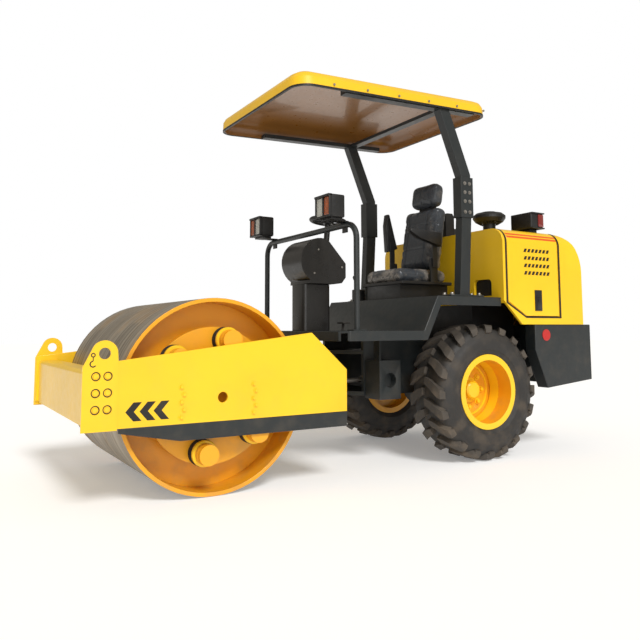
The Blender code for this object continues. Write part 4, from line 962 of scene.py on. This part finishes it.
def build_headlamps():
    """A housing with a clear lens inboard and an amber one outboard, on a bracket over the handrail."""
    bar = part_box("handrail")[1].z
    for side, sign in SIDES:
        name = f"headlamp_{side}"
        low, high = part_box(name)
        inner, outer = (low.y, high.y) if sign > 0 else (-high.y, -low.y)
        rear, front = high.x - 0.115, high.x - 0.006
        foot = low.z + 0.012
        split = inner + (outer - inner) * 0.54
        shell, clear, amber = bmesh.new(), bmesh.new(), bmesh.new()
        blocks = [
            # shape, low corner, high corner, rounded edge, segments
            (shell, (rear, inner, foot), (front - 0.014, outer, high.z), 0.010, 3),
        ]
        for y0, y1 in ((inner, inner + 0.010), (split - 0.006, split + 0.006), (outer - 0.008, outer)):
            blocks.append((shell, (front - 0.024, y0, foot + 0.002), (front, y1, high.z - 0.002), 0.003, 2))
        lens_rear, lens_front = front - 0.022, front - 0.005
        lens_foot, lens_top = foot + 0.011, high.z - 0.013
        blocks += [
            (shell, (front - 0.024, inner, high.z - 0.014), (high.x, outer, high.z), 0.004, 2),
            (shell, (front - 0.024, inner, foot), (front + 0.002, outer, foot + 0.012), 0.004, 2),
            (shell, (rear + 0.01, inner + 0.02, low.z), (front - 0.03, outer - 0.02, foot + 0.004), 0.003, 2),
            (clear, (lens_rear, inner + 0.009, lens_foot), (lens_front, split - 0.005, lens_top), 0.007, 3),
            (amber, (lens_rear, split + 0.005, lens_foot), (lens_front, outer - 0.007, lens_top), 0.007, 3),
            (shell, (rear - 0.055, inner + 0.045, bar - 0.002), (rear + 0.060, outer - 0.045, low.z + 0.004), 0.002, 2),
            (shell, (rear - 0.055, inner + 0.055, bar - 0.062), (rear - 0.046, outer - 0.055, bar + 0.004), 0.001, 2),
        ]
        for bm, low_corner, high_corner, edge, segments in blocks:
            add_block(bm, low_corner, high_corner, edge, segments)
        for bm in (shell, clear, amber):
            bmesh.ops.scale(bm, vec=(1, sign, 1), verts=bm.verts)
        make_piece(f"{name}_shell", shell, BLACK_PLASTIC, REAR, [name])
        make_piece(f"{name}_clear_lens", clear, CLEAR_LENS, REAR)
        make_piece(f"{name}_amber_lens", amber, AMBER_LENS, REAR)


def build_rear_lamps():
    for side, sign in SIDES:
        name = f"rear_lamp_{side}"
        low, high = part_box(name)
        inner, outer = (low.y, high.y) if sign > 0 else (-high.y, -low.y)
        foot = low.z + 0.035
        shell, lens = bmesh.new(), bmesh.new()
        add_block(shell, (low.x + 0.014, inner, foot), (high.x, outer - 0.010, high.z), 0.010, 3)
        for z0, z1 in ((foot, foot + 0.010), (high.z - 0.010, high.z)):
            add_block(shell, (low.x, inner + 0.002, z0), (high.x - 0.002, outer, z1), 0.004)
        for y in (inner + 0.002, (inner + outer) / 2 - 0.005):
            add_block(shell, (low.x, y, foot + 0.002), (low.x + 0.030, y + 0.010, high.z - 0.002), 0.002)
        glass = (
            # low corner, high corner, rounded edge
            ((low.x + 0.004, inner + 0.010, foot + 0.009), (low.x + 0.028, outer - 0.012, high.z - 0.009), 0.005),
            ((low.x + 0.010, outer - 0.014, foot + 0.014), (low.x + 0.062, outer - 0.003, high.z - 0.014), 0.004),
        )
        for low_corner, high_corner, edge in glass:
            add_block(lens, low_corner, high_corner, edge)
        add_block(shell, (low.x + 0.03, inner + 0.05, low.z), (low.x + 0.1, outer - 0.05, foot + 0.004), 0.002)
        for bm in (shell, lens):
            bmesh.ops.scale(bm, vec=(1, sign, 1), verts=bm.verts)
        make_piece(f"{name}_shell", shell, BLACK_PLASTIC, REAR, [name])
        make_piece(f"{name}_red_lens", lens, RED_LENS, REAR)


# Roll bar and roof


def build_rops_bolts():
    bm = bmesh.new()
    splice_x = HOOD_HIGH.x + 0.23
    rise = CANOPY_LOW.z - DECK_HIGH.z
    outer = POST_HIGH.y - 0.055 + 0.038
    for share in (0.47, 0.53, 0.58, 0.63):
        for dx in (-0.020, 0.020):
            z = DECK_HIGH.z + share * rise
            add_bolt(bm, (splice_x + dx, outer, z), (0, 1, 0), 0.016, 0.009)
    foot_x, foot_y, foot_top = HOOD_HIGH.x + 0.26, POST_HIGH.y - 0.055, DECK_HIGH.z + 0.0123
    for dx in (-0.115, 0.115):
        for dy in (-0.035, 0.035):
            add_bolt(bm, (foot_x + dx, foot_y + dy, foot_top), (0, 0, 1), 0.022, 0.014)
    add_mirrored(bm)
    make_piece("roll_bar_bolts", bm, BOLT_STEEL, REAR)


def canopy_turned(bm):
    middle = (CANOPY_LOW.x + CANOPY_HIGH.x) / 2
    turn = Matrix.Rotation(-CANOPY_TILT, 3, "Y")
    bmesh.ops.rotate(bm, cent=(middle, 0, canopy_edge_z()), matrix=turn, verts=bm.verts)


def canopy_edge_z():
    half = (CANOPY_HIGH.x - CANOPY_LOW.x) / 2
    return CANOPY_LOW.z + half * sin(-CANOPY_TILT)


def build_canopy_trim():
    """The dark strip round the roof's lower edge, and the screws above it."""
    z = canopy_edge_z()
    half = CANOPY_HIGH.y + 0.001
    front, rear = CANOPY_HIGH.x + 0.001, CANOPY_LOW.x - 0.001
    r = CANOPY_CORNER
    run = []
    corners = ((front - r, half - r), (rear + r, half - r), (rear + r, r - half), (front - r, r - half))
    for number, corner in enumerate(corners):
        run += arc(corner, r, 90 * number, 90 * number + 90, 10)
    bm = bmesh.new()
    verts = [bm.verts.new((x, y, z - 0.003)) for x, y in run]
    edges = [bm.edges.new((verts[i - 1], verts[i])) for i in range(len(verts))]
    pushed = bmesh.ops.extrude_edge_only(bm, edges=edges)["geom"]
    upper = [g for g in pushed if isinstance(g, bmesh.types.BMVert)]
    bmesh.ops.translate(bm, verts=upper, vec=(0, 0, 0.011))
    bmesh.ops.recalc_face_normals(bm, faces=bm.faces)
    bmesh.ops.solidify(bm, geom=bm.faces[:], thickness=0.013)
    canopy_turned(bm)
    make_piece("canopy_edge_trim", bm, BLACK_PLASTIC, REAR)
    bm = bmesh.new()
    for number in range(6):
        x = rear + 0.06 + number * (front - rear - 0.30) / 5
        add_rod(bm, (x, half - 0.004, z + 0.024), (x, half + 0.004, z + 0.024), 0.007, 16)
    add_mirrored(bm)
    canopy_turned(bm)
    make_piece("canopy_screws", bm, BOLT_STEEL, REAR)


# Operator's place


def build_console_details():
    low, high = HEAD_LOW, HEAD_HIGH
    bm = bmesh.new()
    middle_x = high.x - 0.145
    centre_z = low.z + 0.145
    screws = (
        (middle_x + 0.02, centre_z + 0.07),
        (low.x + 0.03, centre_z - 0.035),
        (middle_x + 0.05, centre_z - 0.08),
    )
    for x, z in screws:
        add_rod(bm, (x, high.y - 0.001, z), (x, high.y + 0.0025, z), 0.006, 14)
    add_mirrored(bm)
    make_piece("console_screws", bm, BOLT_STEEL, REAR)
    way = Vector((-0.741, 0, 0.671))
    place = Vector((low.x + 0.066, 0, centre_z + 0.062))
    rings, dials = bmesh.new(), bmesh.new()
    for y in (-0.085, -0.045, 0.045, 0.085):
        at = place + Vector((0, y, 0))
        add_turned(rings, [(0.014, -0.002), (0.019, -0.002), (0.018, 0.006), (0.014, 0.006)], at, way, 28)
        add_rod(dials, at - way * 0.002, at + way * 0.0035, 0.0142, 28)
    make_piece("gauge_rings", rings, BOLT_STEEL, REAR)
    make_piece("gauge_faces", dials, DIAL_FACE, REAR)


def build_steering_wheel():
    joint = next(j for j in frame["joints"] if j["name"] == "steering_wheel_turn")
    centre, way = Vector(joint["pos_m"]), Vector(joint["axis"]).normalized()
    radius, thick = (WHEEL_HIGH.y - WHEEL_LOW.y) / 2, 0.0125
    bm = bmesh.new()
    section = [(radius - thick + dx, dz) for dx, dz in arc((0, 0.022), thick, 0, 337.5, 15)]
    add_turned(bm, section, centre, way, 72)
    boss = [(0, 0.001), (0.034, 0.001), (0.038, 0.018), (0.032, 0.032), (0.012, 0.036), (0, 0.036)]
    add_turned(bm, boss, centre, way, 40)
    across = way.cross(Vector((0, 1, 0))).normalized()
    for angle in (90, 210, 330):
        out = across * cos(radians(angle)) + Vector((0, 1, 0)) * sin(radians(angle))
        start = centre + way * 0.019
        add_rod(bm, start + out * 0.020, start + out * (radius - thick), 0.011, 16, 0.008)
    make_piece("steering_wheel_formed", bm, BLACK_PLASTIC, "steering_wheel", ["steering_wheel"], 40)


def build_deck_details():
    """Raised tread on the floor, and two pedals."""
    bm = bmesh.new()
    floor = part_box("console_pedestal")[0].z
    front = DECK_HIGH.x - 0.06
    rows, columns = 9, 34
    bar_size = Matrix.Diagonal((0.022, 0.0055, 0.0024, 1))
    for row in range(rows):
        for column in range(columns):
            x = front - 0.03 - row * 0.052
            y = -0.54 + column * 0.0327
            if abs(y) < 0.12 and x > 0.06 or abs(abs(y) - 0.57) < 0.05:
                continue
            turn = radians(45 if (row + column) % 2 else -45)
            place = Matrix.Translation((x, y, floor)) @ Matrix.Rotation(turn, 4, "Z") @ bar_size
            bmesh.ops.create_cube(bm, size=1, matrix=place)
    make_piece("floor_tread", bm, SLATE_PAINT, REAR)
    bm = bmesh.new()
    for y in (0.17, -0.17):
        add_block(bm, (0.02, y - 0.035, floor + 0.045), (0.075, y + 0.035, floor + 0.055), 0.003)
        add_rod(bm, (0.055, y, floor), (0.050, y, floor + 0.046), 0.008, 12)
    make_piece("foot_pedals", bm, DARK_RUBBER_AND_SHADE, REAR)


def build_hood_port():
    """A dark plate of painted shade inside the round-topped port in the hood's front face."""
    bm = bmesh.new()
    y = HOOD_HIGH.y - 0.188
    z = DECK_HIGH.z
    outline = [
        (y - 0.088, z + 0.007),
        (y + 0.088, z + 0.007),
        *arc((y + 0.050, z + 0.095), 0.038, 0, 90, 6),
        *arc((y - 0.050, z + 0.095), 0.038, 90, 180, 6),
    ]
    # A dark plate inside the opening: painted shade.
    add_flat(bm, outline, "X", HOOD_HIGH.x - 0.030, HOOD_HIGH.x - 0.022)
    make_piece("port_painted_shade", bm, DARK_RUBBER_AND_SHADE, REAR)


# Seat


def inflated(obj, cap):
    """The pad swollen by cloth pressure, with no point moved further than the cap."""
    depsgraph = bpy.context.evaluated_depsgraph_get
    remesh = obj.modifiers.new("remesh", "REMESH")
    remesh.mode, remesh.voxel_size = "VOXEL", VOXEL
    even = bpy.data.meshes.new_from_object(obj.evaluated_get(depsgraph()))
    obj.modifiers.clear()
    obj.data = even
    start = [v.co.copy() for v in even.vertices]
    cloth = obj.modifiers.new("cloth", "CLOTH")
    cloth.settings.use_pressure = True
    cloth.settings.uniform_pressure_force = 4
    cloth.settings.effector_weights.gravity = 0
    cloth.settings.quality = 4
    for number in range(1, 21):
        bpy.context.scene.frame_set(number)
    swollen = bpy.data.meshes.new_from_object(obj.evaluated_get(depsgraph()))
    obj.modifiers.clear()
    for v, was in zip(swollen.vertices, start):
        move = v.co - was
        if move.length > cap:
            v.co = was + move.normalized() * cap
    obj.data = swollen
    bpy.context.scene.frame_set(1)


def build_pad(name, node, size, foot, lean, channels, shrink=0.006):
    """A crowned pad on its foot, leaning back; channels are sewn lines: (axis, place, width, depth)."""
    deep, wide, tall = size
    bm = bmesh.new()
    half_x, half_y = deep / 2 - shrink, wide / 2 - shrink
    made = add_block(bm, (-half_x, -half_y, shrink / 2), (half_x, half_y, tall - shrink))
    round_off(bm, made, min(deep, wide, tall) * 0.36, 4)
    long_edges = [e for e in bm.edges if e.calc_length() > 0.05]
    bmesh.ops.subdivide_edges(bm, edges=long_edges, cuts=6, use_grid_fill=True)
    for v in bm.verts:
        u, w, t = v.co.x / (deep / 2), v.co.y / (wide / 2), v.co.z / tall * 2 - 1
        pulled = 1 - 0.045 * (w * w * t * t + u * u * w * w)
        v.co.y *= pulled
        v.co.x *= 1 - 0.03 * u * u * w * w
    obj = make_piece(f"{name}_pad", bm, WRAPPED_CLOTH, REAR, [node], 180)
    inflated(obj, SWELL_CAP)
    pad = bmesh.new()
    pad.from_mesh(obj.data)
    pad.normal_update()
    for v in pad.verts:
        for axis, place, width, depth in channels:
            away = (v.co["xyz".index(axis)] - place) / width
            if abs(away) < 3 and (v.normal.x > 0.2 or v.normal.z > 0.2):
                v.co -= v.normal * depth * exp(-away * away)
    place = Matrix.Translation(foot) @ Matrix.Rotation(-lean, 4, "Y")
    bmesh.ops.transform(pad, matrix=place, verts=pad.verts)
    pad.to_mesh(obj.data)
    pad.free()
    obj.data.materials.clear()
    obj.data.materials.append(WRAPPED_CLOTH)
    obj.data.shade_smooth()
    smooth = obj.modifiers.new("smooth", "SUBSURF")
    smooth.levels = smooth.render_levels = 1


def build_seat():
    low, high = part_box("seat_cushion")
    foot = Vector(((low.x + high.x) / 2, 0, low.z))
    channels = [("y", -0.125, 0.006, 0.007), ("y", 0.125, 0.006, 0.007), ("x", 0.06, 0.006, 0.005)]
    size = (high.x - low.x, high.y - low.y, high.z - low.z + 0.004)
    build_pad("seat_cushion", "seat_cushion", size, foot, 0, channels)
    top = high.z
    seat_rear = low.x + 0.10
    foot = Vector((seat_rear, 0, top + 0.003))
    upright = [("y", place, 0.006, 0.008) for place in (-0.10, 0.10)]
    channels = upright + [("z", place, 0.006, 0.005) for place in (0.16, 0.33)]
    build_pad("seat_backrest", "seat_backrest", (0.12, 0.40, 0.468), foot, SEAT_RECLINE, channels)
    head = foot + Vector((-sin(SEAT_RECLINE) * 0.472 + 0.002, 0, cos(SEAT_RECLINE) * 0.472))
    channels = [("y", 0.0, 0.005, 0.003)]
    build_pad("seat_headrest", "seat_headrest", (0.122, 0.28, 0.178), head, SEAT_RECLINE, channels)


# Studio


def build_studio():
    scene = bpy.context.scene
    scene.view_settings.view_transform = "Standard"
    bm = bmesh.new()
    bmesh.ops.create_grid(bm, x_segments=1, y_segments=1, size=40)
    mesh = bpy.data.meshes.new("studio_floor")
    bm.to_mesh(mesh)
    bm.free()
    floor = bpy.data.objects.new("studio_floor", mesh)
    floor.location.z = -0.001
    scene.collection.objects.link(floor)
    material, _, _ = new_material(
        "pale_floor",
        Roughness=0.9,
        Base_Color=(0.92, 0.92, 0.92, 1),
        Emission_Color=(1, 1, 1, 1),
        Emission_Strength=0.22,
    )
    mesh.materials.append(material)
    world = bpy.data.worlds.new("studio")
    scene.world = world
    world.use_nodes = True
    tree = world.node_tree
    light = tree.nodes["Background"]
    light.inputs["Color"].default_value = (1.0, 0.93, 0.82, 1)
    light.inputs["Strength"].default_value = 0.42
    seen = add_node(tree, "Background", Color=(1, 1, 1, 1), Strength=1.0)
    path = add_node(tree, "LightPath")
    mix = tree.nodes.new("ShaderNodeMixShader")
    tree.links.new(path.outputs["Is Camera Ray"], mix.inputs[0])
    tree.links.new(light.outputs[0], mix.inputs[1])
    tree.links.new(seen.outputs[0], mix.inputs[2])
    tree.links.new(mix.outputs[0], tree.nodes["World Output"].inputs["Surface"])
    lamps = (
        # name, direction, strength, softness in degrees
        ("key_light", (-0.12, -0.85, -0.80), 2.2, 18),
        ("low_light", (-0.35, -0.95, -0.12), 0.75, 40),
    )
    for name, way, strength, spread in lamps:
        lamp = bpy.data.lights.new(name, "SUN")
        lamp.energy, lamp.angle = strength, radians(spread)
        obj = bpy.data.objects.new(name, lamp)
        obj.rotation_mode = "QUATERNION"
        obj.rotation_quaternion = Vector(way).to_track_quat("-Z", "Y")
        scene.collection.objects.link(obj)


def build_camera():
    """A low view from the front left, tipped slightly up."""
    yaw, pitch, roll = 0.5498, 0.0985, -0.0036
    ahead = Vector((-sin(yaw) * cos(pitch), -cos(yaw) * cos(pitch), sin(pitch)))
    level = ahead.cross(Vector((0, 0, 1))).normalized()
    above = level.cross(ahead)
    right = level * cos(roll) + above * sin(roll)
    up = above * cos(roll) - level * sin(roll)
    data = bpy.data.cameras.new("view")
    data.lens, data.sensor_width = 37.78, 36
    data.shift_x, data.shift_y = -0.0105, -0.0887
    camera = bpy.data.objects.new("view", data)
    turned = Matrix((right, up, -ahead)).transposed().to_4x4()
    camera.matrix_world = Matrix.Translation((2.3536, 3.7324, 0.8087)) @ turned
    bpy.context.scene.collection.objects.link(camera)
    bpy.context.scene.camera = camera


build_studio()
build_camera()
finish_nodes()
build_tyres()
build_rim_details()
build_chevrons()
build_frame_bolts()
build_lugs()
build_hook_signs()
build_buffers()
build_scraper_blades()
build_louvres()
build_door_trim()
build_door_seals()
build_door_bands()
build_cleaner_fins()
build_rear_disc()
build_headlamps()
build_rear_lamps()
build_rops_bolts()
build_canopy_trim()
build_console_details()
build_steering_wheel()
build_deck_details()
build_hood_port()
build_seat()
